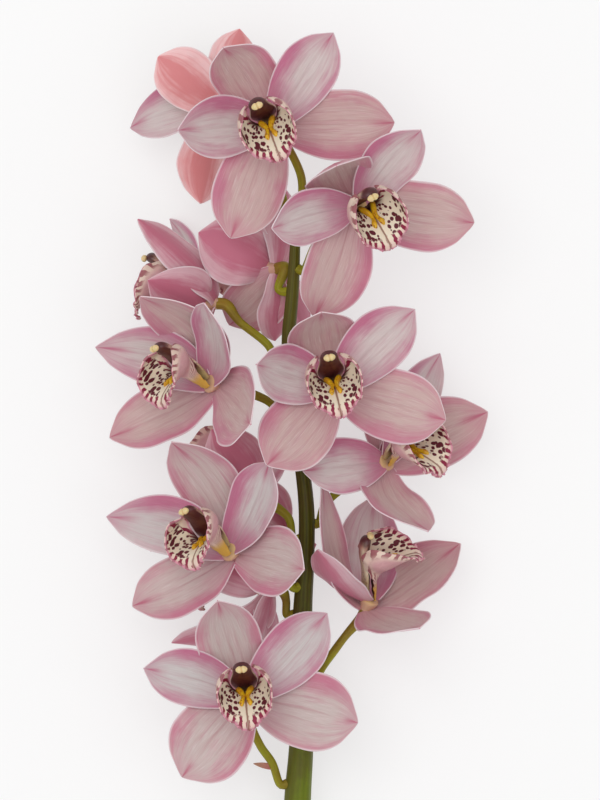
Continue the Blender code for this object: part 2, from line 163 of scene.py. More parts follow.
FLOWERS = (
    Flower(
        heart=(-14.0, 337.0, 76.0),
        facing=(-0.03, -0.15, 0.99),
        up=(-0.40, 0.90, 0.13),
        dorsal=Tepal((-24.0, 37.5, 22.0), 34.0, bow=-8.0),
        left_petal=Tepal((-46.5, -3.5, 26.0), 33.0),
        right_petal=Tepal((30.5, 45.0, 16.0), 31.0),
        left_sepal=Tepal((-20.5, -56.5, 4.0), 37.0, bow=3.0),
        right_sepal=Tepal((61.0, 1.0, 4.0), 37.0, bow=3.0),
        foot_y=296.0,
        stalk=((0.5, 312.0, 60.0), (-8.0, 330.0, 63.0)),
    ),
    Flower(
        heart=(-39.0, 347.0, 44.0),
        facing=(-0.30, 0.25, -0.92),
        up=(0.05, 0.99, 0.25),
        dorsal=Tepal((-32.0, 25.0, 10.0), 31.0, backlit_coral=True),
        left_petal=Tepal((-46.5, -10.0, -16.0), 29.0, face=(0.0, 0.35, 0.94), sway=6.0),
        right_petal=Tepal((8.5, 39.5, -6.0), 28.0, backlit_coral=True),
        left_sepal=Tepal((-11.0, -48.5, 4.0), 30.0, bow=4.0, face=(-0.5, 0.0, -0.85), backlit_coral=True),
        right_sepal=Tepal((36.0, 10.0, -42.0), 28.0, rests=True),
        foot_y=289.0,
        stalk=((-10.0, 306.0, 51.0), (-24.0, 334.0, 52.0)),
    ),
    Flower(
        heart=(28.0, 297.0, 73.0),
        facing=(0.35, -0.27, 0.90),
        up=(-0.35, 0.90, 0.38),
        dorsal=Tepal((-10.0, 18.5, 40.0), 37.0, bow=-6.0, face=(0.34, -0.83, 0.43)),
        left_petal=Tepal((-42.0, -12.0, 30.0), 30.0),
        right_petal=Tepal((32.0, 37.0, 16.0), 31.0),
        left_sepal=Tepal((-21.0, -55.5, -4.0), 38.0, bow=3.0),
        right_sepal=Tepal((59.0, -8.5, -6.0), 37.0, bow=3.0),
        foot_y=266.0,
        stalk=((8.0, 278.0, 57.0), (19.0, 292.0, 60.0)),
    ),
    Flower(
        heart=(-12.8, 266.0, 40.3),
        facing=(-0.63, 0.0, -0.776),
        up=(-0.10, 0.99, 0.08),
        dorsal=Tepal((4.0, 42.0, -16.0), 28.0),
        left_petal=Tepal((-38.0, 18.0, 2.0), 38.0, bow=-3.0, face=(-0.2, 0.1, -0.97)),
        right_petal=Tepal((16.0, -33.0, -36.0), 24.0, rests=True),
        left_sepal=Tepal((-23.0, -28.0, -24.0), 32.0, face=(0.25, 0.25, 0.93)),
        right_sepal=Tepal((0.0, -36.0, -12.0), 26.0),
        foot_y=254.0,
        stalk=((-10.8, 257.0, 47.0),),
    ),
    Flower(
        heart=(-45.0, 249.0, 36.0),
        facing=(-0.97, 0.20, 0.05),
        up=(0.20, 0.97, 0.05),
        dorsal=Tepal((-36.5, 41.5, 12.0), 32.0, face=(-0.55, -0.60, -0.55)),
        left_petal=Tepal((-21.0, 43.0, -32.0), 26.0, rests=True),
        right_petal=Tepal((-31.0, 11.0, 26.0), 30.0, face=(-0.4, 0.5, -0.75)),
        left_sepal=Tepal((-20.0, -34.0, -34.0), 30.0, rests=True),
        right_sepal=Tepal((-20.0, -38.0, 2.0), 30.0),
        foot_y=217.0,
        stalk=((-16.0, 227.5, 44.0), (-30.0, 239.0, 39.0)),
    ),
    Flower(
        heart=(-43.5, 208.0, 60.0),
        facing=(-0.74, 0.08, 0.67),
        up=(-0.10, 0.97, -0.22),
        dorsal=Tepal((-36.0, 43.5, 16.0), 38.0, bow=-4.0, sway=4.5),
        left_petal=Tepal((-59.0, 18.5, -8.0), 31.0, sway=5.0),
        right_petal=Tepal((-4.0, 40.0, 34.0), 32.0, face=(-0.66, 0.1, 0.75)),
        left_sepal=Tepal((-52.0, -27.0, -12.0), 34.0),
        right_sepal=Tepal((19.0, -20.0, 42.0), 42.0, face=(-0.72, 0.12, 0.68)),
        foot_y=192.0,
        stalk=((-17.0, 200.0, 51.0),),
    ),
    Flower(
        heart=(16.5, 205.5, 72.0),
        facing=(0.03, 0.02, 1.0),
        up=(-0.20, 0.97, 0.0),
        dorsal=Tepal((-6.0, 38.0, 21.0), 37.0, bow=-9.0),
        left_petal=Tepal((-38.0, 12.0, 32.0), 31.0, bow=-3.0),
        right_petal=Tepal((40.5, 39.5, 14.0), 32.0),
        left_sepal=Tepal((-33.0, -38.0, 14.0), 38.0, bow=2.0),
        right_sepal=Tepal((56.0, -15.5, 4.0), 38.0, bow=3.0),
        foot_y=184.0,
        stalk=((4.0, 193.0, 54.0), (12.0, 203.0, 57.0)),
    ),
    Flower(
        heart=(42.0, 168.5, 40.0),
        facing=(0.63, 0.20, 0.75),
        up=(-0.48, 0.85, 0.18),
        dorsal=Tepal((-12.0, 44.0, -38.0), 30.0, rests=True),
        left_petal=Tepal((-40.5, -4.0, 28.0), 30.0),
        right_petal=Tepal((28.5, 55.0, -8.0), 28.0),
        left_sepal=Tepal((22.0, -34.0, 26.0), 38.0, sway=5.5),
        right_sepal=Tepal((52.5, 25.5, -6.0), 37.0),
        foot_y=138.0,
        stalk=((13.0, 148.0, 33.0), (24.0, 157.5, 31.0)),
    ),
    Flower(
        heart=(34.0, 97.0, 36.0),
        facing=(0.40, 0.82, 0.40),
        up=(-0.84, 0.40, 0.36),
        dorsal=Tepal((-23.0, 61.5, 18.0), 28.0, face=(0.84, 0.20, 0.46)),
        left_petal=Tepal((4.0, 54.5, -34.0), 34.0, face=(0.2, 0.3, 0.93), rests=True),
        right_petal=Tepal((-25.0, 28.5, 34.0), 27.0, face=(0.30, 0.90, -0.25)),
        left_sepal=Tepal((47.0, 30.5, -10.0), 38.0, sway=-2.0),
        right_sepal=Tepal((25.5, -10.5, 42.0), 36.0, face=(-0.15, 0.88, 0.30)),
        foot_y=55.0,
        stalk=((10.0, 63.0, 31.0), (17.5, 74.0, 32.0), (23.5, 82.0, 33.0)),
    ),
    Flower(
        heart=(-34.0, 123.5, 58.0),
        facing=(-0.58, 0.19, 0.79),
        up=(-0.15, 0.95, -0.34),
        dorsal=Tepal((-30.0, 55.5, 6.0), 37.0, bow=-8.0),
        left_petal=Tepal((-63.0, 18.0, -8.0), 31.0, sway=4.5),
        right_petal=Tepal((19.0, 45.5, 20.0), 33.0),
        left_sepal=Tepal((-50.0, -27.0, -8.0), 35.0),
        right_sepal=Tepal((36.0, -7.5, 40.0), 37.0),
        foot_y=106.0,
        stalk=((-11.0, 115.0, 45.0),),
        rosy=0.15,
    ),
    Flower(
        heart=(-22.5, 155.0, 32.0),
        facing=(-0.65, 0.65, -0.39),
        up=(0.60, 0.75, 0.20),
        dorsal=Tepal((22.0, 26.0, -22.0), 28.0),
        left_petal=Tepal((-22.0, 30.0, 10.0), 34.0, face=(-0.3, 0.1, -0.95)),
        right_petal=Tepal((17.0, -21.0, -10.0), 24.0),
        left_sepal=Tepal((-6.0, -30.0, -26.0), 28.0),
        right_sepal=Tepal((-53.0, -31.0, -8.0), 30.0),
        foot_y=130.0,
        stalk=((-6.0, 141.0, 36.0),),
    ),
    Flower(
        heart=(-17.0, 105.0, 32.0),
        facing=(-0.91, 0.12, -0.38),
        up=(0.05, 0.99, 0.02),
        dorsal=Tepal((25.0, 22.0, -20.0), 26.0),
        left_petal=Tepal((-36.0, 16.0, 6.0), 28.0, face=(-0.3, 0.2, -0.93)),
        right_petal=Tepal((4.0, -36.0, -25.0), 28.0),
        left_sepal=Tepal((-48.0, -28.0, -30.0), 24.0, bow=-4.0, face=(-0.4, 0.4, -0.82), rests=True),
        right_sepal=Tepal((-12.0, -44.0, -6.0), 30.0),
        foot_y=92.0,
        stalk=((-7.0, 99.0, 31.5),),
    ),
    Flower(
        heart=(-26.5, 51.0, 54.0),
        facing=(-0.02, 0.01, 1.0),
        up=(-0.12, 0.99, 0.0),
        dorsal=Tepal((-14.5, 49.0, 24.0), 34.0, bow=-3.0),
        left_petal=Tepal((-51.5, 15.0, 12.0), 30.0, sway=2.0),
        right_petal=Tepal((40.0, 42.5, 10.0), 32.0),
        left_sepal=Tepal((-32.5, -39.5, 8.0), 42.0, bow=3.0),
        right_sepal=Tepal((55.5, -12.5, 4.0), 41.0, bow=3.0),
        foot_y=6.0,
        stalk=((-14.0, 17.0, 28.0), (-20.0, 26.0, 32.0), (-25.0, 38.0, 38.0)),
        rosy=0.0,
    ),
)


# Numbers and surfaces


def unit(vectors: Points) -> Points:
    """The same directions at length 1."""
    return vectors / np.linalg.norm(vectors, axis=-1, keepdims=True)


def eased(values: Points | float, start: float, end: float) -> Points:
    """A smooth step from 0 at start to 1 at end.

    Args:
        values: The numbers to read.
        start: Where the step begins.
        end: Where it is complete.

    Returns:
        The step's height at each number.
    """
    share = np.clip((np.asarray(values) - start) / (end - start), 0.0, 1.0)
    return share * share * (3.0 - 2.0 * share)


def smooth_line(rows: Sequence[Sequence[float]] | Points, shares: Points) -> Points:
    """Reads rows of numbers smoothly, passing through every row.

    Args:
        rows: The rows, evenly spaced along the line.
        shares: Places along the line, from 0 to 1.

    Returns:
        One row of numbers for each place.
    """
    table = np.array(rows, float)
    last = len(table) - 1
    place = np.clip(np.asarray(shares, float), 0.0, 1.0) * last
    i = np.minimum(place.astype(int), last - 1)
    f = (place - i)[..., None]
    a, b, c, d = (table[np.clip(i + k, 0, last)] for k in (-1, 0, 1, 2))
    return 0.5 * (
        2 * b + (c - a) * f + (2 * a - 5 * b + 4 * c - d) * f**2 + (3 * b - a - 3 * c + d) * f**3
    )


def in_frame(points: Points) -> Points:
    """Table points as metres in the row frame."""
    return (points - ORIGIN) * MM


def evened(values: Points) -> Points:
    """Numbers along a line, each as the mean of itself and its neighbours."""
    padded = np.pad(values, EVENED_OVER // 2, mode="edge")
    return np.convolve(padded, np.ones(EVENED_OVER) / EVENED_OVER, "valid")


def lengths_to(line: Points) -> Points:
    """How long a line is up to each of its points."""
    return np.concatenate([[0.0], np.cumsum(np.linalg.norm(np.diff(line, axis=0), axis=1))])


def round_turn(sides: int) -> Points:
    """Angles evenly round a full turn."""
    return np.linspace(0.0, FULL_TURN, sides, endpoint=False)


def grid_quads(index: Points) -> Points:
    """The faces of four corners over a grid of point numbers."""
    corners = (index[:-1, :-1], index[:-1, 1:], index[1:, 1:], index[1:, :-1])
    return np.stack([c.ravel() for c in corners], axis=1)


def closed_mesh(
    name: str, points: Points, quads: Points, triangles: Points, marks: Mapping[str, Points]
) -> bpy.types.Mesh:
    """Makes a closed mesh whose faces point out, with numbers marked on its points.

    Args:
        name: The mesh's name.
        points: The points, in table millimetres.
        quads: The faces of four corners.
        triangles: The faces of three corners, which may be none.
        marks: A number for every point, by the name that the finish reads.

    Returns:
        The mesh, smooth but for its sharp edges.
    """
    a, b, c, d = (points[quads[:, k]] for k in range(4))
    volume = np.einsum("ij,ij->", a, np.cross(b, c)) + np.einsum("ij,ij->", a, np.cross(c, d))
    if len(triangles):
        e, f, g = (points[triangles[:, k]] for k in range(3))
        volume += np.einsum("ij,ij->", e, np.cross(f, g))
    if volume < 0:
        quads, triangles = quads[:, ::-1], triangles[:, ::-1]
    mesh = bpy.data.meshes.new(name)
    mesh.from_pydata(in_frame(points).tolist(), [], quads.tolist() + triangles.tolist())
    for mark, values in marks.items():
        layer = mesh.attributes.new(mark, "FLOAT", "POINT")
        layer.data.foreach_set("value", np.ascontiguousarray(values, np.float32))
    mesh.shade_smooth()
    mesh.set_sharp_from_angle(angle=CREASE_ANGLE)
    return mesh


@dataclass
class Sheet:
    """A sheet of tissue: its middle surface as a grid, its thickness, and what is marked on it."""

    middle: Points
    thick: Points
    marks: dict[str, Points]

    def normals(self) -> Points:
        """The direction out of its inner side at each point."""
        along = np.gradient(self.middle, axis=0)
        across = np.gradient(self.middle, axis=1)
        return unit(np.cross(across, along))

    def mesh(self, name: str) -> bpy.types.Mesh:
        """The sheet as a closed mesh, whose mark inner is 1 on its inner side and 0 on its back."""
        rows, columns = self.thick.shape
        half = self.normals() * self.thick[..., None] / 2
        points = np.concatenate([(self.middle + half).reshape(-1, 3), (self.middle - half).reshape(-1, 3)])
        index = np.arange(rows * columns).reshape(rows, columns)
        upper = grid_quads(index)
        lower = upper[:, ::-1] + rows * columns
        rim = np.concatenate([index[:, 0], index[-1, 1:], index[-2::-1, -1], index[0, -2:0:-1]])
        after = np.roll(rim, -1)
        edge = np.stack([rim, after, after + rows * columns, rim + rows * columns], axis=1)
        marks = {mark: np.tile(values.ravel(), 2) for mark, values in self.marks.items()}
        marks["inner"] = np.repeat((1.0, 0.0), rows * columns)
        quads = np.concatenate([upper, lower, edge])
        return closed_mesh(name, points, quads, np.empty((0, 3), int), marks)


@dataclass
class Tube:
    """A closed round body: rings of points from one end to the other, and what is marked on them."""

    rings: Points
    marks: dict[str, Points]

    def mesh(self, name: str) -> bpy.types.Mesh:
        """The tube as a closed mesh, with a fan of faces over each end."""
        rows, sides = self.rings.shape[:2]
        index = np.arange(rows * sides).reshape(rows, sides)
        after = np.roll(index, -1, axis=1)
        corners = (index[:-1], after[:-1], after[1:], index[1:])
        quads = np.stack([c.ravel() for c in corners], axis=1)
        ends = rows * sides + np.arange(2)
        first = np.stack([after[0], index[0], np.full(sides, ends[0])], axis=1)
        last = np.stack([index[-1], after[-1], np.full(sides, ends[1])], axis=1)
        middles = self.rings[[0, -1]].mean(axis=1)
        points = np.concatenate([self.rings.reshape(-1, 3), middles])
        marks = {
            mark: np.concatenate([values.ravel(), values[[0, -1]].mean(axis=1)])
            for mark, values in self.marks.items()
        }
        return closed_mesh(name, points, quads, np.concatenate([first, last]), marks)


def swept(line: Points, radii: Points, sides: int, start: Points) -> Points:
    """Rings of points round a line, which turn with it and don't twist.

    Args:
        line: The line's points.
        radii: A radius for each point, or for each point and side.
        sides: How many points each ring has.
        start: The direction of the first ring's first point.

    Returns:
        The rings, as a grid of points.
    """
    along = unit(np.gradient(line, axis=0))
    spoke = start
    spokes = []
    for direction in along:
        spoke = unit(spoke - direction * spoke.dot(direction))
        spokes.append(spoke)
    spokes = np.array(spokes)
    others = np.cross(along, spokes)
    turn = round_turn(sides)
    radii = np.broadcast_to(radii if radii.ndim == 2 else radii[:, None], (len(line), sides))
    reach = spokes[:, None] * np.cos(turn)[:, None] + others[:, None] * np.sin(turn)[:, None]
    return line[:, None] + reach * radii[..., None]


# Finishes


def tone(red: float, green: float, blue: float) -> Colour:
    """A colour given as the 0 to 255 values of a picture, in the linear values of a shader."""
    parts = [v / 255 for v in (red, green, blue)]
    made = [p / 12.92 if p <= 0.04045 else ((p + 0.055) / 1.055) ** 2.4 for p in parts]
    return made[0], made[1], made[2], 1.0


class Wire:
    """What comes out of a shader node: a number, a colour or a direction."""

    def __init__(self, tree: "Tree", socket: bpy.types.NodeSocket) -> None:
        """Keeps the socket and the tree that it is in."""
        self.tree = tree
        self.socket = socket

    def _math(self, operation: str, first: "Value", second: "Value" = 0.0) -> "Wire":
        """Adds a Math node."""
        return self.tree.node("ShaderNodeMath", {"operation": operation}, {0: first, 1: second})

    def __add__(self, other: "Value") -> "Wire":
        """The sum."""
        return self._math("ADD", self, other)

    def __sub__(self, other: "Value") -> "Wire":
        """The difference."""
        return self._math("SUBTRACT", self, other)

    def __mul__(self, other: "Value") -> "Wire":
        """The product."""
        return self._math("MULTIPLY", self, other)

    def __rsub__(self, other: float) -> "Wire":
        """The difference from a plain number."""
        return self._math("SUBTRACT", other, self)

    def __abs__(self) -> "Wire":
        """The size without its sign."""
        return self._math("ABSOLUTE", self)

    __radd__ = __add__
    __rmul__ = __mul__

    def wave(self) -> "Wire":
        """The cosine, from -1 to 1."""
        return self._math("COSINE", self)

    def most(self, other: "Value") -> "Wire":
        """The larger of the two."""
        return self._math("MAXIMUM", self, other)

    def step(self, start: float, end: float) -> "Wire":
        """A smooth step from 0 at start to 1 at end, or down from 1 where end is the smaller."""
        low, high = (0.0, 1.0) if start < end else (1.0, 0.0)
        settings = {"interpolation_type": "SMOOTHSTEP"}
        ends = {1: min(start, end), 2: max(start, end), 3: low, 4: high}
        return self.tree.node("ShaderNodeMapRange", settings, {0: self, **ends})


Value = Wire | float | Colour | Triple


class Tree:
    """The node tree of one material."""

    def __init__(self, name: str) -> None:
        """Makes the material with its plain shader."""
        self.material = bpy.data.materials.new(name)
        self.material.use_nodes = True
        self.shader = self.material.node_tree.nodes["Principled BSDF"]

    def node(
        self,
        kind: str,
        settings: Mapping[str, object],
        inputs: Mapping[int | str, Value],
        out: int | str = 0,
    ) -> Wire:
        """Adds a node.

        Args:
            kind: The node's type.
            settings: What is set on it first, such as a Math node's operation.
            inputs: Values or wires for its sockets.
            out: The socket that it is read from.

        Returns:
            What comes out of that socket.
        """
        made = self.material.node_tree.nodes.new(kind)
        for name, value in settings.items():
            setattr(made, name, value)
        for place, value in inputs.items():
            self.join(made.inputs[place], value)
        return Wire(self, made.outputs[out])

    def join(self, socket: bpy.types.NodeSocket, value: Value) -> None:
        """Links a wire to a socket, or sets a plain value on it."""
        if isinstance(value, Wire):
            self.material.node_tree.links.new(value.socket, socket)
        else:
            socket.default_value = value

    def marks(self, names: str) -> list[Wire]:
        """The numbers that the mesh has on its points, by names with spaces between."""
        kind = "ShaderNodeAttribute"
        return [self.node(kind, {"attribute_name": name}, {}, "Fac") for name in names.split()]

    def place(self) -> Wire:
        """Where a point is on the object, in metres."""
        return self.node("ShaderNodeTexCoord", {}, {}, "Object")

    def vector(self, x: Value, y: Value, z: Value = 0.0) -> Wire:
        """A direction from its three numbers."""
        return self.node("ShaderNodeCombineXYZ", {}, {0: x, 1: y, 2: z})

    def noise(self, where: Wire, scale: float, detail: float = 2.0) -> Wire:
        """Soft clouds from 0 to 1."""
        return self.node("ShaderNodeTexNoise", {}, {"Vector": where, "Scale": scale, "Detail": detail})

    def cells(self, where: Wire, scale: float, scatter: float = 1.0) -> Wire:
        """How far a point is from the nearest of many scattered ones."""
        inputs = {"Vector": where, "Scale": scale, "Randomness": scatter}
        return self.node("ShaderNodeTexVoronoi", {}, inputs, "Distance")

    def blend(self, share: Value, low: Value, high: Value) -> Wire:
        """A colour between two others."""
        settings = {"data_type": "RGBA"}
        return self.node("ShaderNodeMix", settings, {0: share, 6: low, 7: high}, 2)

    def layers(self, ground: Value, *coats: tuple[Value, Value]) -> Wire:
        """Lays colours over a ground, one after another.

        Args:
            ground: The colour below.
            coats: For each coat, how much of it covers, from 0 to 1, and its colour.

        Returns:
            The colour on top.
        """
        for cover, colour in coats:
            ground = self.blend(cover, ground, colour)
        return ground

    def dress(
        self,
        colour: Value,
        rough: Value,
        height: Wire | None = None,
        relief: float = 0.3,
        depth: float = 0.3,
        **fixed: Value,
    ) -> bpy.types.Material:
        """Joins the finish to its shader.

        Args:
            colour: The base colour.
            rough: The roughness.
            height: The fine relief, if there is one.
            relief: How strongly the relief shows.
            depth: How deep the relief is, in millimetres.
            fixed: Plain values of other sockets, with _ for the spaces in their names.

        Returns:
            The finished material.
        """
        self.join(self.shader.inputs["Base Color"], colour)
        self.join(self.shader.inputs["Roughness"], rough)
        for name, value in fixed.items():
            self.shader.inputs[name.replace("_", " ")].default_value = value
        if height is not None:
            inputs = {"Strength": relief, "Distance": depth * MM, "Height": height}
            self.join(self.shader.inputs["Normal"], self.node("ShaderNodeBump", {}, inputs))
        return self.material


@dataclass(frozen=True)
class TepalFinish:
    """Petal tissue: pale in the middle, rose at the margins, the base and the tip, with long veins."""

    name: str
    centre: Colour
    warm: Colour
    rose: Colour
    vein: Colour
    tip: Colour
    back: Colour
    back_deep: Colour
    rim: Colour = tone(230, 222, 224)
    blush_from: float = 0.30
    base_blush: float = 0.5
    one_sided: float = 0.0
    veins: float = 7.0

    def material(self) -> bpy.types.Material:
        """The finish as a material."""
        tree = Tree(self.name)
        along, across, inner, own, upper, rosy = tree.marks("along across inner own upper rosy")
        where = tree.place()
        clouds = tree.noise(where, 70.0, 3.0)
        streaks = tree.noise(tree.vector(across * 7.0, along * 2.0, own * 40.0), 1.4, 4.0)
        fibres = tree.noise(tree.vector(across * 26.0, along * 3.0, own * 30.0), 2.2, 3.0)
        away = abs(across)
        lopsided = away + across * (own - 0.5) * 0.45 + upper * self.one_sided
        uneven = (clouds - 0.5) * 0.65 + (streaks - 0.5) * 0.6
        edge = (lopsided + uneven).step(self.blush_from, 1.1)
        base = (along + uneven * 0.45 - away * 0.16 - upper * self.one_sided * 0.4).step(0.46, 0.02)
        end = (along + uneven * 0.25).step(0.72, 1.02)
        ridge = (away * (1.0 + along * 0.6)).step(0.34, 0.0)
        blush = (edge * (1.0 - along.step(0.66, 0.98) * 0.45)).most(base * self.base_blush).most(end * 0.5)
        lines = (across * (math.pi * self.veins) + (streaks - 0.5) * 6.0 + own * 2.0).wave().step(0.62, 1.0)
        fade = along.step(1.0, 0.45) * away.step(1.0, 0.35)
        midrib = away.step(0.06, 0.0) * along.step(0.9, 0.3)
        front = tree.layers(
            tree.blend(rosy, self.centre, self.warm),
            (blush, self.rose),
            (streaks.step(0.48, 0.8) * 0.3, self.rose),
            (fibres.step(0.48, 0.8) * 0.26, self.vein),
            (fibres.step(0.5, 0.2) * 0.35 * (1.0 - blush * 0.6), self.rim),
            (lines * (fade * 0.2 + 0.02), self.vein),
            (end * ridge * 0.9, self.tip),
            (midrib * 0.35, self.vein),
        )
        behind = tree.layers(
            self.back_deep,
            ((lopsided + uneven * 1.3).step(0.15, 0.95), self.back),
            (lines * 0.24 + fibres.step(0.5, 0.8) * 0.25, self.back_deep),
            (away.step(0.12, 0.0) * along.step(1.0, 0.2) * 0.6, self.back_deep),
        )
        colour = tree.layers(behind, (inner.step(0.4, 0.6), front), (away.step(0.93, 0.99) * 0.6, self.rim))
        grain = tree.noise(where, 2400.0, 2.0)
        height = lines * fade * -0.3 + fibres * 0.5 + grain * 0.2
        return tree.dress(
            colour,
            0.50 + clouds * 0.16,
            height,
            relief=0.35,
            depth=0.25,
            Subsurface_Weight=0.22,
            Subsurface_Radius=(1.0, 0.55, 0.6),
            Subsurface_Scale=0.0018,
            Sheen_Weight=0.12,
            Sheen_Roughness=0.5,
            Specular_IOR_Level=0.35,
        )


@dataclass(frozen=True)
class LipFinish:
    """The lip: cream, with maroon spots that lengthen outwards, a pink margin, and a dark throat at its base
    that is partly its own maroon and partly painted shade.
    """

    name: str = "lip_spotted"
    cream: Colour = tone(228, 214, 192)
    spot: Colour = tone(132, 18, 56)
    deep_spot: Colour = tone(92, 20, 36)
    pink: Colour = tone(204, 132, 154)
    back: Colour = tone(186, 122, 138)
    claw: Colour = tone(204, 160, 66)
    # Dark maroon-brown of the throat, partly painted shade.
    throat_and_shade: Colour = tone(84, 38, 38)
    line: Colour = tone(120, 56, 40)

    def material(self) -> bpy.types.Material:
        """The finish as a material."""
        tree = Tree(self.name)
        along, inner, rim, reach, ray, aside = tree.marks("along inner rim reach ray aside")
        where = tree.place()
        clouds = tree.noise(where, 420.0, 2.0)
        wander = (clouds - 0.5) * 0.8
        place = tree.vector(reach * 0.36 + wander * 0.5, ray * 9.0 + wander * 0.6)
        nearest = tree.cells(place, 1.0, 0.85)
        outer = (rim + wander * 6.0).step(8.0, 6.5)
        spot_size = (0.47 + reach.step(12.0, 24.0) * 0.07) * abs(aside).step(1.8, 4.2)
        scattered = (spot_size - nearest).step(0.0, 0.07)
        dashes = (ray * 50.0 + wander * 5.0).wave().step(-0.15, 0.3) * outer * abs(aside).step(0.5, 1.0)
        spots = (scattered * (1.0 - outer)).most(dashes)
        streak = abs(aside + wander * 0.5).step(0.8, 0.35) * reach.step(1.0, 4.0)
        margin = rim.step(2.4, 0.7)
        front = tree.layers(
            self.cream,
            (rim.step(7.0, 2.0) * 0.35, self.pink),
            (margin * 0.9, self.pink),
            (spots * (1.0 - margin * 0.6), tree.blend(outer, self.deep_spot, self.spot)),
            (streak * 0.8, self.line),
            # The lip's base is painted dark: partly its own maroon, partly painted shade under the column.
            (along.step(0.40, 0.30), self.throat_and_shade),
        )
        behind = tree.layers(
            self.back,
            (margin * 0.5 + clouds * 0.3, self.pink),
            (0.25 + rim.step(12.0, 4.0) * 0.5, self.cream),
            (spots * (rim.step(9.0, 3.0) * 0.75 + 0.06), self.spot),
            (along.step(0.24, 0.12), self.claw),
        )
        colour = tree.blend(inner.step(0.4, 0.6), behind, front)
        grain = tree.noise(where, 2600.0, 2.0)
        height = spots * 0.35 + grain * 0.3 + clouds * 0.4
        return tree.dress(
            colour,
            0.46 + clouds * 0.14,
            height,
            relief=0.35,
            depth=0.25,
            Subsurface_Weight=0.12,
            Subsurface_Radius=(1.0, 0.5, 0.45),
            Subsurface_Scale=0.0015,
            Specular_IOR_Level=0.4,
        )


@dataclass(frozen=True)
class KeelFinish:
    """The two ridges on the lip: golden yellow with a few red-brown dots."""

    name: str = "keel_yellow"
    gold: Colour = tone(222, 176, 20)
    amber: Colour = tone(196, 134, 16)
    dot: Colour = tone(120, 44, 24)

    def material(self) -> bpy.types.Material:
        """The finish as a material."""
        tree = Tree(self.name)
        (along,) = tree.marks("along")
        where = tree.place()
        clouds = tree.noise(where, 500.0, 2.0)
        dots = (0.30 - tree.cells(where, 620.0, 1.0)).step(0.0, 0.1)
        colour = tree.layers(
            self.gold,
            (clouds.step(0.35, 0.7), self.amber),
            (dots * along.step(0.25, 0.6) * 0.8, self.dot),
            (along.step(0.30, 0.0) * 0.8, self.dot),
        )
        return tree.dress(colour, 0.42 + clouds * 0.1, clouds, Subsurface_Weight=0.1, Subsurface_Scale=0.001)


@dataclass(frozen=True)
class ColumnFinish:
    """The column: cream and olive on its back, dark maroon under its hood and below, where the dark is partly
    its own colour and partly painted shade.
    """

    name: str = "column_maroon"
    cream: Colour = tone(214, 198, 170)
    olive: Colour = tone(176, 156, 104)
    maroon: Colour = tone(74, 22, 26)
    # Underside colour, partly painted shade.
    under: Colour = tone(92, 46, 38)
    flush: Colour = tone(140, 52, 62)

    def material(self) -> bpy.types.Material:
        """The finish as a material."""
        tree = Tree(self.name)
        along, over, aside = tree.marks("along over aside")
        where = tree.place()
        clouds = tree.noise(where, 260.0, 3.0)
        uneven = (clouds - 0.5) * 0.5
        flecks = (0.34 - tree.cells(where, 560.0, 1.0)).step(0.0, 0.12)
        hood = (along + uneven * 0.2).step(0.66, 0.88)
        wings = abs(aside).step(0.9, 1.0) * along.step(0.5, 0.8)
        back = tree.layers(
            self.olive,
            ((along + uneven).step(0.1, 0.5), self.cream),
            ((over + uneven * 0.6).step(0.45, 0.95) * along.step(0.35, 0.7) * 0.8, self.flush),
            (flecks * 0.5 + wings * 0.4, self.flush),
            (along.step(0.22, 0.05) * 0.8, self.olive),
            (hood, tree.blend(hood.step(0.3, 0.9), self.flush, self.maroon)),
        )
        # The underside is dark maroon-brown: partly its own colour, partly painted shade.
        below = tree.blend(clouds.step(0.35, 0.7), self.under, self.maroon)
        below = tree.blend((along + uneven * 0.2).step(0.10, 0.34), self.olive, below)
        colour = tree.blend((over + uneven * 0.3).step(-0.1, -0.4), back, below)
        return tree.dress(
            colour,
            0.36 + clouds * 0.14,
            clouds + flecks * 0.3,
            relief=0.3,
            depth=0.3,
            Subsurface_Weight=0.1,
            Subsurface_Scale=0.0012,
            Coat_Weight=0.08,
            Coat_Roughness=0.3,
        )


@dataclass(frozen=True)
class CapFinish:
    """The anther cap at the column's end, smooth and cream, with painted shade in the cleft between its two
    lobes.
    """

    name: str = "anther_cream"
    cream: Colour = tone(224, 202, 150)
    shade: Colour = tone(196, 160, 104)

    def material(self) -> bpy.types.Material:
        """The finish as a material."""
        tree = Tree(self.name)
        clouds = tree.noise(tree.place(), 700.0, 2.0)
        (aside,) = tree.marks("aside")
        cleft = abs(aside).step(0.22, 0.0)
        # The cleft is darkened with painted shade; the clouds vary the tone.
        colour = tree.blend(clouds * 0.4 + cleft * 0.6, self.cream, self.shade)
        height = clouds - cleft
        return tree.dress(colour, 0.34 + clouds * 0.1, height, Subsurface_Weight=0.2, Subsurface_Scale=0.001)


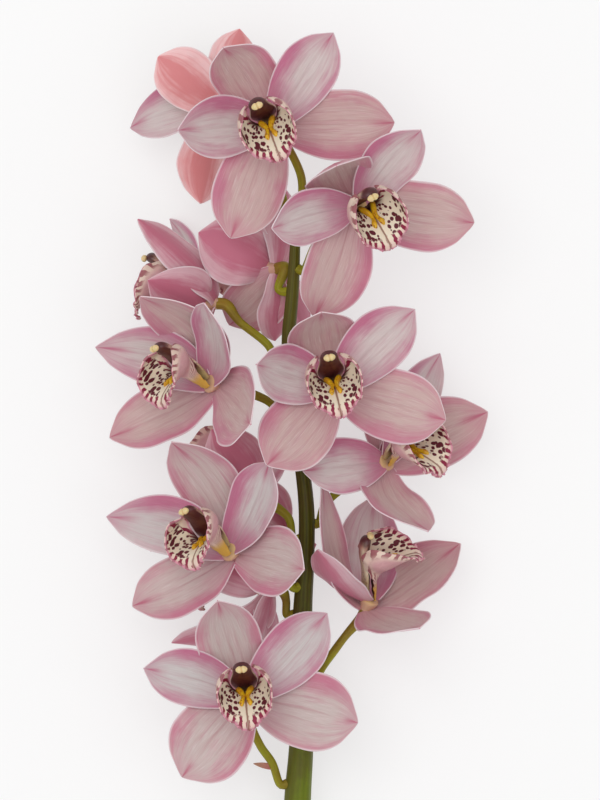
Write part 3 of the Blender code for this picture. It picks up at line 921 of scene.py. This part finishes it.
@dataclass(frozen=True)
class StalkFinish:
    """Green stalk skin: fine length-ways ribs with lighter lines and streaks, a browner side and browner
    patches.
    """

    name: str
    low: Colour
    middle: Colour
    high: Colour
    brown: Colour
    light: Colour
    brown_share: float = 0.4
    ribs: float = 14.0
    pith: Colour = tone(196, 200, 150)
    fibre: Colour = tone(150, 168, 96)

    def material(self) -> bpy.types.Material:
        """The finish as a material."""
        tree = Tree(self.name)
        along, around, cut = tree.marks("along around cut")
        where = tree.place()
        clouds = tree.noise(where, 60.0, 4.0)
        grain = tree.noise(tree.vector(around * 5.0, along * 8.0), 8.0, 4.0)
        lines = (around * (FULL_TURN * self.ribs) + (clouds - 0.5) * 2.0).wave() * 0.5 + 0.5
        drift = along + (clouds - 0.5) * 0.1
        patches = (clouds + grain * 0.4).step(0.62, 0.85) * self.brown_share
        side = (around * FULL_TURN - 2.6).wave().step(0.55, 1.0) * self.brown_share
        cells = tree.cells(where, 900.0, 1.0)
        colour = tree.layers(
            self.low,
            (drift.step(0.34, 0.52), self.middle),
            (drift.step(0.72, 0.95), self.high),
            (lines * 0.18 + grain.step(0.5, 0.8) * 0.25, self.light),
            (patches.most(side), self.brown),
            (cut.step(0.3, 0.7), tree.blend(cells.step(0.15, 0.45), self.pith, self.fibre)),
        )
        height = lines * 0.5 + grain * 0.6 + cut * cells
        return tree.dress(
            colour,
            0.42 + grain * 0.16,
            height,
            relief=0.35,
            depth=0.3,
            Subsurface_Weight=0.06,
            Subsurface_Scale=0.001,
            Specular_IOR_Level=0.22,
        )


@dataclass(frozen=True)
class BractFinish:
    """The dry scale: tan and pinkish, with straw lines."""

    name: str = "bract_tan"
    tan: Colour = tone(190, 148, 118)
    pink: Colour = tone(184, 110, 104)
    straw: Colour = tone(120, 76, 60)
    lines: float = 22.0

    def material(self) -> bpy.types.Material:
        """The finish as a material."""
        tree = Tree(self.name)
        along, across = tree.marks("along across")
        lines = (across * self.lines).wave() * 0.5 + 0.5
        clouds = tree.noise(tree.place(), 600.0, 2.0)
        tan = along.step(0.1, 0.8) * 0.7 + clouds * 0.2
        colour = tree.layers(self.pink, (tan, self.tan), (lines * 0.25, self.straw))
        return tree.dress(colour, 0.6 + clouds * 0.1, lines + clouds, relief=0.4, depth=0.2)


# Pieces


def show(name: str, shape: Sheet | Tube, finish: bpy.types.Material, node: str) -> None:
    """Puts a finished piece in the scene in place of a frame node.

    Args:
        name: The piece's name.
        shape: Its shape, already where it belongs.
        finish: Its material.
        node: The frame node that it stands for, alone or with other pieces.
    """
    mesh = shape.mesh(name)
    mesh.materials.append(finish)
    piece = bpy.data.objects.new(name, mesh)
    bpy.context.scene.collection.objects.link(piece)
    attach(piece, "root")
    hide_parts(node)
    log.info("%s: %d faces", piece.name, len(mesh.polygons))


@dataclass(frozen=True)
class FlowerPart:
    """What belongs to one flower; its pieces are named by the flower's number."""

    flower: Flower
    number: int

    def show(self, part: str, shape: Sheet | Tube, finish: bpy.types.Material, slot: Slot, node: str) -> None:
        """Puts a piece of the flower in the scene.

        Args:
            part: The piece's name within its flower.
            shape: Its shape.
            finish: Its material.
            node: The name, within the flower, of the node that it stands for.
        """
        stem = f"flower_{self.number:02d}_"
        show(stem + part, shape, finish, stem + node)


@dataclass(frozen=True)
class Blade(FlowerPart):
    """Builds one sepal or petal of a flower as a thin, gently rippled blade."""

    place: Place
    tepal: Tepal
    rows: int = 44
    columns: int = 29
    row_crowding: float = 1.35
    column_reach: float = 0.94
    thick: float = 1.1
    margin_thick: float = 0.5
    claw_share: float = 0.33
    widest_at: float = 0.57
    petal_bulge: tuple[float, float] = (2.1, 0.8)
    sepal_bulge: tuple[float, float] = (2.4, 0.76)
    point: float = 0.05
    point_narrowed: float = 0.16
    least_share: float = 0.012
    midrib_deep: float = 0.45
    midrib_wide: float = 0.07
    margin_back: float = 0.9
    ripple: float = 0.7
    swing: float = 1.2
    lean_eased: float = 0.2
    forward: float = 2.2
    outward: float = 2.0
    rest_steps: int = 12

    def half_width(self, t: Points) -> Points:
        """Half the blade's width, flattened, at shares of its length."""
        near = 1 - (1 - self.claw_share) * np.clip(1 - t / self.widest_at, 0, None) ** 2
        far = np.clip((t - self.widest_at) / (1 - self.widest_at), 0, 1)
        bulge, power = self.petal_bulge if self.place.petal else self.sepal_bulge
        tapered = np.clip(1 - far**bulge, 0, None) ** power
        pointed = eased(t, 1 - 2.5 * self.point, 1 - 0.5 * self.point)
        tapered = tapered * (1 - self.point_narrowed * pointed)
        share = np.where(t < self.widest_at, near, tapered)
        return self.tepal.width / 2 * np.maximum(share, self.least_share)

    def rise(self, t: Points, s: Points, draw: np.random.Generator) -> Points:
        """How far the blade's own relief stands out of its cupped surface.

        Args:
            t: Shares of its length.
            s: Places across it, from -1 to 1.
            draw: The blade's own random draws.

        Returns:
            The relief of its midrib, its margins, its ripples and its soft waves.
        """
        relief = -self.midrib_deep * np.exp(-((s / self.midrib_wide) ** 2)) * (1 - t) ** 0.5
        curled = eased(np.abs(s), 0.72, 1.0) * eased(t, 0.1, 0.4) * (1 - eased(t, 0.8, 1.0))
        relief = relief - self.margin_back * curled
        waves, phases = draw.uniform(1.6, 2.8, 2), draw.uniform(0, FULL_TURN, 4)
        for edge, wave, phase in zip(BOTH_SIDES, waves, phases, strict=False):
            margin = np.clip(s * edge, 0, 1) ** 2.5
            relief = relief + self.ripple * margin * np.sin(FULL_TURN * wave * t + phase) * (1 - t**4)
        swell = 0.5 * draw.uniform(0.4, 1.0)
        return relief + swell * np.sin(2.6 * s + phases[2]) * np.sin(math.pi * t)

    def sheet(self) -> Sheet:
        """The blade as a sheet, at rest on the floor where it reaches it."""
        tepal = self.tepal
        draw = np.random.default_rng(100 * self.number + list(Place).index(self.place))
        _, _, facing = self.flower.axes()
        heart = np.array(self.flower.heart)
        chord = np.array(tepal.tip)
        along = unit(chord)
        face = np.array(tepal.face) if tepal.face else facing
        inner = unit(face - along * face.dot(along))
        side = np.cross(along, inner)
        bend = inner * tepal.bow + side * tepal.sway - facing * self.lean_eased * chord.dot(facing)
        spread = unit(chord - facing * chord.dot(facing))
        layer = self.forward if self.place.petal else -self.forward
        base = heart + spread * self.outward + facing * layer
        chord = heart + chord - base
        t = 1 - (1 - np.linspace(0, 1, self.rows)[:, None]) ** self.row_crowding
        quarter = math.pi / 2 * self.column_reach
        s = np.sin(np.linspace(-quarter, quarter, self.columns)[None, :]) / math.sin(quarter)
        half = self.half_width(t)
        turned = math.radians(tepal.cup) * (1.2 - 0.4 * t)
        if not self.place.petal:
            turned = turned * (0.35 + 0.65 * eased(t, 0.15, 0.6))
        out = half / turned * np.sin(s * turned)
        rise = half / turned * (1 - np.cos(s * turned)) + self.rise(t, s, draw)
        swing = self.swing * draw.uniform(-1, 1) * np.sin(math.pi * t)
        middle = base + chord * t[..., None] + bend * (4 * t * (1 - t))[..., None] + side * swing[..., None]
        middle = middle + side * out[..., None] + inner * rise[..., None]
        blank = 0 * s + 0 * t
        thick = self.thick + (self.margin_thick - self.thick) * np.abs(s) ** 1.5 + blank
        upper = {Place.LEFT_PETAL: 1.0, Place.RIGHT_PETAL: -1.0}.get(self.place, 0.0)
        marks = {
            "along": t + blank,
            "across": s + blank,
            "own": draw.uniform() + blank,
            "upper": upper * s + blank,
            "rosy": self.flower.rosy + blank,
        }
        return self.settled(Sheet(middle, thick, marks))

    def settled(self, sheet: Sheet) -> Sheet:
        """Bends the blade, most at its tip, until its lowest point is on the floor.

        Args:
            sheet: The blade. One that doesn't rest is only lifted where it would be in the floor.

        Returns:
            The same sheet, in its final place.
        """
        share = np.linspace(0, 1, self.rows)[:, None] ** 2
        for _ in range(self.rest_steps):
            low = (sheet.middle[..., 2] - sheet.thick / 2).min() - FLOOR_CLEAR
            if low > 0 and not self.tepal.rests:
                break
            sheet.middle[..., 2] -= low * share
        return sheet

    def build(self, finish: bpy.types.Material) -> None:
        """Makes the blade's piece."""
        self.show(self.place.value, self.sheet(), finish, Slot.PETAL, "tepals")


@dataclass(frozen=True)
class Lip(FlowerPart):
    """Builds a flower's lip: a trough with upright side lobes, a frilled middle lobe and two keels."""

    rows: int = 64
    columns: int = 75
    thick: float = 0.9
    squash: float = 0.72
    frill: float = 0.75
    notch_at: float = 0.655
    notch: float = 0.08
    notch_long: float = 0.035
    least_half: float = 1.2
    crease_deep: float = 0.5
    crease_wide: float = 1.2
    frill_waves: tuple[float, float] = (12.5, 7.3)
    throat_at: float = 0.20
    line: tuple[tuple[float, float, float, float, float], ...] = (
        (-2.2, 4.4, 2.5, 50.0, 0.0),
        (0.2, 10.5, 4.6, 66.0, 0.0),
        (2.4, 16.5, 7.5, 70.0, 0.0),
        (1.8, 22.5, 19.0, 124.0, 0.0),
        (-2.2, 28.5, 36.0, 156.0, 4.0),
        (-6.6, 33.0, 21.5, 88.0, 35.0),
        (-10.6, 35.6, 8.2, 15.0, 70.0),
        (-13.6, 35.6, 5.0, -15.0, 95.0),
        (-15.4, 33.8, 1.4, -20.0, 110.0),
    )
    keel_rows: int = 26
    keel_sides: int = 12
    keel_line: tuple[tuple[float, float, float, float], ...] = (
        (4.8, 16.5, 3.5, 1.2),
        (4.8, 19.5, 3.2, 1.5),
        (3.6, 22.5, 2.1, 1.5),
        (1.8, 25.0, 1.15, 1.2),
        (0.2, 27.4, 1.3, 1.0),
        (-1.5, 29.4, 2.1, 1.35),
        (-3.3, 31.0, 2.1, 0.7),
    )

    def sheet(self) -> Sheet:
        """The lip as a sheet, with the distances that its spots follow marked on it."""
        right, up, facing = self.flower.axes()
        draw = np.random.default_rng(7000 + self.number)
        t = np.linspace(0, 1, self.rows)[:, None]
        s = np.linspace(1, -1, self.columns)[None, :]
        read = smooth_line(self.line, t[:, 0])
        lean = np.radians(read[:, 4:5])
        inner = up * np.cos(lean) + facing * np.sin(lean)
        middle = self.flower.at(read[:, :1], read[:, 1:2])
        length = lengths_to(middle)
        narrowed = self.notch * np.exp(-(((t - self.notch_at) / self.notch_long) ** 2))
        half = np.maximum(read[:, 2:3], self.least_half) * (1 - narrowed)
        turned = np.radians(read[:, 3:4])
        turned = np.where(np.abs(turned) < NEARLY_FLAT, NEARLY_FLAT, turned)
        out = half / turned * np.sin(s * turned)
        rise = self.squash * half / turned * (1 - np.cos(s * turned))
        rise = rise - self.crease_deep * np.exp(-((s * half / self.crease_wide) ** 2)) * eased(t, 0.3, 0.6)
        coarse, fine = (FULL_TURN * count * t + draw.uniform(0, 6.28) for count in self.frill_waves)
        waves = np.sin(coarse) + 0.6 * np.sin(fine + s)
        edge = eased(np.abs(s), 0.55, 1.0)
        rise = rise + self.frill * edge * waves * (0.35 + 0.65 * eased(t, 0.35, 0.6))
        end = eased(t, 0.86, 1.0) * np.sin(s * 7.0 + draw.uniform(0, 6.28)) * 0.6
        surface = middle[:, None] + right * out[..., None] + inner[:, None] * (rise + end)[..., None]
        aside = s * half
        ahead = length[:, None] - length[-1] * self.throat_at
        to_margin = np.minimum(half - np.abs(aside), (length[-1] - length)[:, None] * 0.9 + 0.0 * s)
        marks = {
            "along": t + 0 * s,
            "aside": aside,
            "rim": to_margin,
            "reach": np.hypot(aside, ahead),
            "ray": np.arctan2(aside, ahead + 0 * s),
        }
        return Sheet(surface, np.full(aside.shape, self.thick), marks)

    def keels(self) -> list[Tube]:
        """The two yellow ridges on the lip's floor."""
        right, _, _ = self.flower.axes()
        share = np.linspace(0, 1, self.keel_rows)
        read = smooth_line(self.keel_line, share)
        radii = read[:, 3] * np.sqrt(np.clip(1 - (2 * share - 1) ** 8, 0.03, 1))
        along = np.repeat(share[:, None], self.keel_sides, axis=1)
        made = []
        for hand in BOTH_SIDES:
            line = self.flower.at(read[:, :1], read[:, 1:2], hand * read[:, 2:3])
            made.append(Tube(swept(line, radii, self.keel_sides, right), {"along": along}))
        return made

    def build(self, finish: bpy.types.Material, keel_finish: bpy.types.Material) -> None:
        """Makes the pieces of the lip."""
        self.show("lip_blade", self.sheet(), finish, Slot.LIP, "lip")
        for hand, tube in zip(("left", "right"), self.keels(), strict=True):
            self.show(f"{hand}_keel", tube, keel_finish, Slot.LIP, "lip")


@dataclass(frozen=True)
class Column(FlowerPart):
    """Builds a flower's column, an arched half-round arm with a hood, and the anther cap under it."""

    rows: int = 40
    sides: int = 36
    line: tuple[tuple[float, float, float, float], ...] = (
        (2.6, 4.8, 2.8, 2.0),
        (5.6, 11.0, 5.2, 2.5),
        (9.0, 18.5, 7.0, 2.6),
        (13.2, 26.5, 4.9, 3.3),
        (15.4, 32.5, 4.1, 3.6),
        (15.4, 36.8, 3.2, 2.5),
    )
    belly: float = 0.55
    wing: float = 0.10
    hood_from: float = 0.82
    cap_at: tuple[float, float] = (15.0, 37.2)
    cap_size: Triple = (3.0, 1.9, 1.6)
    cap_grid: tuple[int, int] = (18, 24)
    cleft_deep: float = 0.24
    cleft_wide: float = 0.16

    def tube(self) -> Tube:
        """The arm, flatter below and closed by a rounded hood."""
        right, up, facing = self.flower.axes()
        share = np.linspace(0, 1, self.rows)
        read = smooth_line(self.line, share)
        step = 0.01
        run = smooth_line(self.line, share + step) - smooth_line(self.line, share - step)
        along = unit(run[:, :1] * up + run[:, 1:2] * facing)
        over = np.cross(along, right)
        middle = self.flower.at(read[:, :1], read[:, 1:2])
        rounded = np.sqrt(np.clip(1 - eased(share, self.hood_from, 1.0) ** 2 * 0.93, 0.02, 1))[:, None]
        angle = round_turn(self.sides)
        across, lift = np.cos(angle)[None, :], np.sin(angle)[None, :]
        lift_shaped = np.where(lift < 0, lift * self.belly, lift)
        wing = 1 + self.wing * eased(share, 0.45, 0.75)[:, None] * np.abs(across) ** 3
        wide = read[:, 2:3] * rounded * wing * across
        high = read[:, 3:4] * rounded * (lift_shaped + 0.12 * (across**2 - 0.5))
        rings = middle[:, None] + right * wide[..., None] + over[:, None] * high[..., None]
        blank = np.zeros((self.rows, self.sides))
        marks = {"along": share[:, None] + blank, "over": lift + blank, "aside": across + blank}
        return Tube(rings, marks)

    def cap(self) -> Tube:
        """The anther cap, a small cushion of two lobes."""
        right, up, facing = self.flower.axes()
        rows, sides = self.cap_grid
        polar = np.linspace(0.05, math.pi - 0.05, rows)[:, None]
        angle = round_turn(sides)[None, :]
        wide, high, deep = self.cap_size
        across = np.cos(polar) + 0 * angle
        ring = np.sin(polar) * (1 - self.cleft_deep * np.exp(-((across / self.cleft_wide) ** 2)))
        rings = (
            self.flower.at(*self.cap_at)
            + right * (wide * across)[..., None]
            + up * (high * ring * np.cos(angle))[..., None]
            + facing * (deep * ring * np.sin(angle))[..., None]
        )
        return Tube(rings, {"aside": across})

    def build(self, finish: bpy.types.Material, cap_finish: bpy.types.Material) -> None:
        """Makes the column's two pieces."""
        self.show("column_arm", self.tube(), finish, Slot.COLUMN, "column")
        self.show("anther_cap", self.cap(), cap_finish, Slot.COLUMN, "column")


@dataclass(frozen=True)
class Stem:
    """Builds the flower stalk, cut square at its lower end."""

    rise: float = 0.105
    cut_y: float = -150.0
    cut_height: float = 7.2
    rows: int = 170
    sides: int = 40
    cut_rings: tuple[float, ...] = (0.0, 0.3, 0.62, 0.86, 0.95)
    cut_middle: float = 0.3
    edge_steps: tuple[float, float] = (0.1, 0.5)
    ribs: int = 9
    rib_high: float = 0.018
    tip_long: float = 4.0

    def height(self, y: Points | float) -> Points | float:
        """How high the stalk's middle is above the floor at a place along it."""
        return self.cut_height + self.rise * (y - self.cut_y)

    def at(self, y: Points | float) -> tuple[Points, Points]:
        """The stalk's middle and radius at places along it.

        Args:
            y: The places.

        Returns:
            Its middle points, and its radii.
        """
        table = np.array(STEM_LINE)
        x = np.interp(y, table[:, 1], table[:, 0])
        radius = np.interp(y, table[:, 1], table[:, 2])
        return np.stack([x, np.asarray(y, float), self.height(np.asarray(y, float))], axis=-1), radius

    def tube(self) -> Tube:
        """The stalk with its fine ribs, a slightly rounded cut edge and a flat cut face."""
        top_y = STEM_LINE[-1][1]
        middle, radius = self.at(np.linspace(self.cut_y, top_y, self.rows))
        middle[:, 0] = evened(middle[:, 0])
        radius = evened(radius)
        face = len(self.cut_rings)
        middle = np.concatenate([np.repeat(middle[:1], face, axis=0), middle])
        middle[face - 1 : face + 1, 1] += self.edge_steps
        radius = np.concatenate([radius[0] * np.array(self.cut_rings), radius])
        radius[0] = self.cut_middle
        cut = np.repeat((1.0, 0.0), (face, self.rows))[:, None]
        y = middle[:, 1:2]
        tip = np.sqrt(np.clip((top_y - y) / self.tip_long, 0.02, 1))
        angle = round_turn(self.sides)[None, :]
        ribbed = 1 + self.rib_high * np.cos(self.ribs * angle) * (1 - cut)
        x_way = np.cos(angle)[..., None] * np.array((1.0, 0.0, 0.0))
        z_way = np.sin(angle)[..., None] * unit(np.array((0.0, -self.rise, 1.0)))
        rings = middle[:, None] + (x_way + z_way) * (radius[:, None] * tip * ribbed)[..., None]
        rings[..., 2] = np.maximum(rings[..., 2], FLOOR_CLEAR)
        blank = np.zeros(rings.shape[:2])
        marks = {
            "along": (y - self.cut_y) / (top_y - self.cut_y) + blank,
            "around": angle / FULL_TURN + blank,
            "cut": cut + blank,
        }
        return Tube(rings, marks)

    def build(self, finish: bpy.types.Material) -> None:
        """Makes the stalk's piece."""
        show("stem_stalk", self.tube(), finish, "stem")


@dataclass(frozen=True)
class Pedicel(FlowerPart):
    """Builds a flower's own stalk, which thickens into the ribbed ovary behind the tepals."""

    stem: Stem
    rows: int = 64
    sides: int = 22
    radius: float = 2.1
    ovary_radius: float = 2.9
    ovary_long: float = 6.0
    foot_share: float = 1.25
    foot_sunk: float = 0.8
    foot_long: float = 3.8
    heart_clear: float = 2.6
    end_radius: float = 3.0
    ribs: int = 3
    rib_high: float = 0.07
    cone_grid: tuple[int, int] = (16, 24)
    cone_line: tuple[tuple[float, float], ...] = (
        (-3.4, 2.9),
        (-1.5, 3.3),
        (0.6, 4.2),
        (2.4, 4.7),
        (3.3, 4.2),
        (3.6, 2.6),
    )

    def route(self) -> tuple[Points, Points]:
        """The stalk's points, from inside the stem's skin to the receptacle, with a radius at each."""
        axis, radius = self.stem.at(self.flower.foot_y)
        above, _ = self.stem.at(self.flower.foot_y + 1)
        grain = unit(above - axis)
        leaves = np.array(self.flower.stalk[0]) - axis
        leaves = unit(leaves - grain * leaves.dot(grain))
        foot = axis + leaves * (radius - self.foot_sunk)
        facing = unit(np.array(self.flower.facing))
        end = np.array(self.flower.heart) - facing * self.heart_clear
        ovary = end - facing * self.ovary_long
        bends = [np.array(p) for p in self.flower.stalk]
        points = [foot, foot + leaves * self.foot_long, *bends, ovary, end]
        slim = [self.radius] * (len(points) - 3)
        radii = [self.radius * self.foot_share, *slim, self.ovary_radius, self.end_radius]
        return np.array(points), np.array(radii)

    def tube(self) -> Tube:
        """The stalk and the ovary."""
        points, radii = self.route()
        share = np.linspace(0, 1, self.rows)
        lengths = lengths_to(points)
        knots = np.interp(share * lengths[-1], lengths, np.linspace(0, 1, len(points)))
        line = smooth_line(points, knots)
        width = smooth_line(radii[:, None], knots)
        angle = round_turn(self.sides)[None, :]
        ribbed = 1 + self.rib_high * np.cos(self.ribs * angle) * eased(share, 0.7, 0.95)[:, None]
        rings = swept(line, width * ribbed, self.sides, np.array((0.0, 0.0, 1.0)))
        blank = np.zeros(rings.shape[:2])
        marks = {"along": share[:, None] + blank, "around": angle / FULL_TURN + blank, "cut": blank}
        return Tube(rings, marks)

    def cone(self) -> Tube:
        """The receptacle, the short cone on which the tepals stand."""
        _, up, facing = self.flower.axes()
        rows, sides = self.cone_grid
        read = smooth_line(self.cone_line, np.linspace(0, 1, rows))
        line = np.array(self.flower.heart) + read[:, :1] * facing
        rings = swept(line, read[:, 1], sides, up)
        blank = np.zeros(rings.shape[:2])
        share = np.linspace(0.6, 1, rows)[:, None]
        around = round_turn(sides)[None, :] / FULL_TURN
        return Tube(rings, {"along": share + blank, "around": around + blank, "cut": blank})

    def build(self, finish: bpy.types.Material, cone_finish: bpy.types.Material) -> None:
        """Makes the stalk's piece and the receptacle's."""
        self.show("stalk", self.tube(), finish, Slot.PEDICEL, "pedicel")
        self.show("receptacle", self.cone(), cone_finish, Slot.PETAL, "tepals")


@dataclass(frozen=True)
class Bract:
    """Builds the small pointed scale on the lowest pedicel."""

    foot: Triple = (-14.0, 15.0, 27.6)
    tip: Triple = (-23.5, 16.8, 29.0)
    wide: float = 3.6
    thick: float = 0.6
    grid: tuple[int, int] = (20, 11)

    def build(self, finish: bpy.types.Material) -> None:
        """Makes the scale's piece."""
        foot, tip = np.array(self.foot), np.array(self.tip)
        along = unit(tip - foot)
        side = unit(np.cross(along, np.array((0.0, 0.0, 1.0))))
        hollow = np.cross(side, along)
        rows, columns = self.grid
        t = np.linspace(0, 1, rows)[:, None]
        s = np.linspace(-1, 1, columns)[None, :]
        share = np.maximum(0.75 + 0.6 * t - 1.32 * t**2, 0.05)
        half = self.wide / 2 * share
        rise = 0.5 * share * s**2 + 0.7 * t**2
        middle = foot + (tip - foot) * t[..., None] + side * (half * s)[..., None] + hollow * rise[..., None]
        sheet = Sheet(middle, np.full(rise.shape, self.thick), {"along": t + 0 * s, "across": s + 0 * t})
        show("flower_13_scale", sheet, finish, "flower_13_bract")


# The studio


@dataclass(frozen=True)
class Studio:
    """The pale floor, the soft light and the camera, which looks straight down on the stem."""

    camera_at: Triple = (3.86, 81.96, 4000.0)
    level: float = 60.0
    view_long: float = 400.0
    sensor: float = 36.0
    floor_side: float = 3000.0
    floor_colour: Colour = tone(168, 168, 168)
    floor_shade: Colour = tone(164, 164, 165)
    floor_glow: float = 0.55
    floor_count: int = 9
    white: Colour = tone(255, 255, 255)
    sky_strength: float = 0.66
    lamps_aim: Triple = (0.0, 0.08, 0.05)

    def floor(self) -> None:
        """Lays the floor."""
        count = self.floor_count
        places = np.linspace(-self.floor_side / 2, self.floor_side / 2, count)
        x, y = np.meshgrid(places, places)
        points = np.stack([x.ravel(), y.ravel(), np.zeros(count * count)], axis=1) * MM
        quads = grid_quads(np.arange(count * count).reshape(count, count))
        mesh = bpy.data.meshes.new("pale_floor")
        mesh.from_pydata(points.tolist(), [], quads.tolist())
        tree = Tree("pale_floor")
        clouds = tree.noise(tree.place(), 3.0, 2.0)
        colour = tree.blend(clouds * 0.3, self.floor_colour, self.floor_shade)
        glow = {"Emission_Color": self.white, "Emission_Strength": self.floor_glow}
        mesh.materials.append(tree.dress(colour, 0.8 + clouds * 0.1, **glow))
        floor = bpy.data.objects.new("pale_floor", mesh)
        bpy.context.scene.collection.objects.link(floor)

    def lamp(self, name: str, place: Triple, size: float, watts: float, colour: Triple) -> None:
        """Hangs a square soft lamp that looks at the flowers.

        Args:
            name: The lamp's name.
            place: Where it is, in row-frame metres.
            size: The length of its side in metres.
            watts: Its power.
            colour: Its tint.
        """
        light = bpy.data.lights.new(name, "AREA")
        light.shape = "SQUARE"
        light.size = size
        light.energy = watts
        light.color = colour
        lamp = bpy.data.objects.new(name, light)
        lamp.location = place
        aim = Vector(self.lamps_aim) - Vector(place)
        lamp.rotation_mode = "QUATERNION"
        lamp.rotation_quaternion = aim.to_track_quat("-Z", "Y")
        lamp.visible_camera = False
        bpy.context.scene.collection.objects.link(lamp)

    def camera(self) -> None:
        """Sets the camera over the stem, with the photograph's frame."""
        data = bpy.data.cameras.new("camera")
        data.sensor_width = self.sensor
        data.lens = self.sensor * (self.camera_at[2] - self.level) / self.view_long
        data.clip_start = 0.1
        data.clip_end = 20.0
        camera = bpy.data.objects.new("camera", data)
        camera.location = Vector(self.camera_at) * MM
        bpy.context.scene.collection.objects.link(camera)
        bpy.context.scene.camera = camera

    def build(self) -> None:
        """Sets up the floor, the light and the camera."""
        self.floor()
        world = bpy.data.worlds.new("studio")
        world.use_nodes = True
        sky = world.node_tree.nodes["Background"]
        sky.inputs["Color"].default_value = self.white
        sky.inputs["Strength"].default_value = self.sky_strength
        bpy.context.scene.world = world
        self.lamp("key", (-0.5, 0.5, 2.4), 1.6, 20.0, (1.0, 0.99, 0.97))
        self.lamp("fill", (0.7, -0.4, 2.3), 1.6, 8.0, (0.98, 0.99, 1.0))
        self.camera()
        bpy.context.scene.view_settings.view_transform = "Standard"


PETAL_FINISH = TepalFinish(
    name="petal_white_rose",
    centre=tone(196, 190, 189),
    warm=tone(206, 188, 186),
    rose=tone(182, 104, 134),
    vein=tone(172, 136, 142),
    tip=tone(176, 74, 110),
    back=tone(212, 176, 184),
    back_deep=tone(190, 110, 132),
    base_blush=0.9,
    blush_from=0.16,
    one_sided=0.26,
)
SEPAL_FINISH = TepalFinish(
    name="sepal_beige_rose",
    centre=tone(194, 178, 175),
    warm=tone(196, 160, 156),
    rose=tone(188, 116, 138),
    vein=tone(170, 112, 120),
    tip=tone(176, 74, 106),
    back=tone(214, 178, 186),
    back_deep=tone(190, 108, 130),
    base_blush=0.45,
    blush_from=0.3,
)
# Painted light: these salmon tones stand in for light shining through tepals that lie in shade.
BACKLIT_CORAL_FINISH = TepalFinish(
    name="tepal_backlit_coral",
    centre=tone(214, 190, 184),
    warm=tone(214, 180, 174),
    rose=tone(206, 140, 146),
    vein=tone(190, 140, 138),
    tip=tone(190, 92, 106),
    back=tone(238, 200, 200),
    back_deep=tone(214, 136, 138),
)


PEDICEL_FINISH = StalkFinish(
    name="pedicel_olive",
    low=tone(138, 138, 24),
    middle=tone(140, 130, 26),
    high=tone(146, 118, 40),
    brown=tone(112, 70, 36),
    light=tone(172, 168, 52),
    brown_share=0.5,
    ribs=7.0,
)
STEM_FINISH = StalkFinish(
    name="stem_green",
    low=tone(94, 106, 16),
    middle=tone(66, 66, 12),
    high=tone(86, 84, 20),
    brown=tone(78, 62, 30),
    light=tone(122, 132, 30),
    brown_share=0.45,
)
CONE_FINISH = StalkFinish(
    name="receptacle_blush",
    low=tone(204, 166, 140),
    middle=tone(204, 166, 140),
    high=tone(204, 170, 116),
    brown=tone(186, 126, 134),
    light=tone(216, 190, 150),
    ribs=5.0,
)


def main() -> None:
    """Builds every piece in order, then the studio."""
    logging.basicConfig(level=logging.INFO, format="%(message)s")
    petal, sepal, backlit_coral = (f.material() for f in (PETAL_FINISH, SEPAL_FINISH, BACKLIT_CORAL_FINISH))
    lip, keel, column, cap = (f().material() for f in (LipFinish, KeelFinish, ColumnFinish, CapFinish))
    stalk, green, cone = (f.material() for f in (PEDICEL_FINISH, STEM_FINISH, CONE_FINISH))
    stem = Stem()
    stem.build(green)
    for number, flower in enumerate(FLOWERS, start=1):
        Pedicel(flower, number, stem).build(stalk, cone)
        for place, tepal in flower.tepals().items():
            plain = petal if place.petal else sepal
            Blade(flower, number, place, tepal).build(backlit_coral if tepal.backlit_coral else plain)
        Lip(flower, number).build(lip, keel)
        Column(flower, number).build(column, cap)
    Bract().build(BractFinish().material())
    Studio().build()


if __name__ == "__main__":
    main()
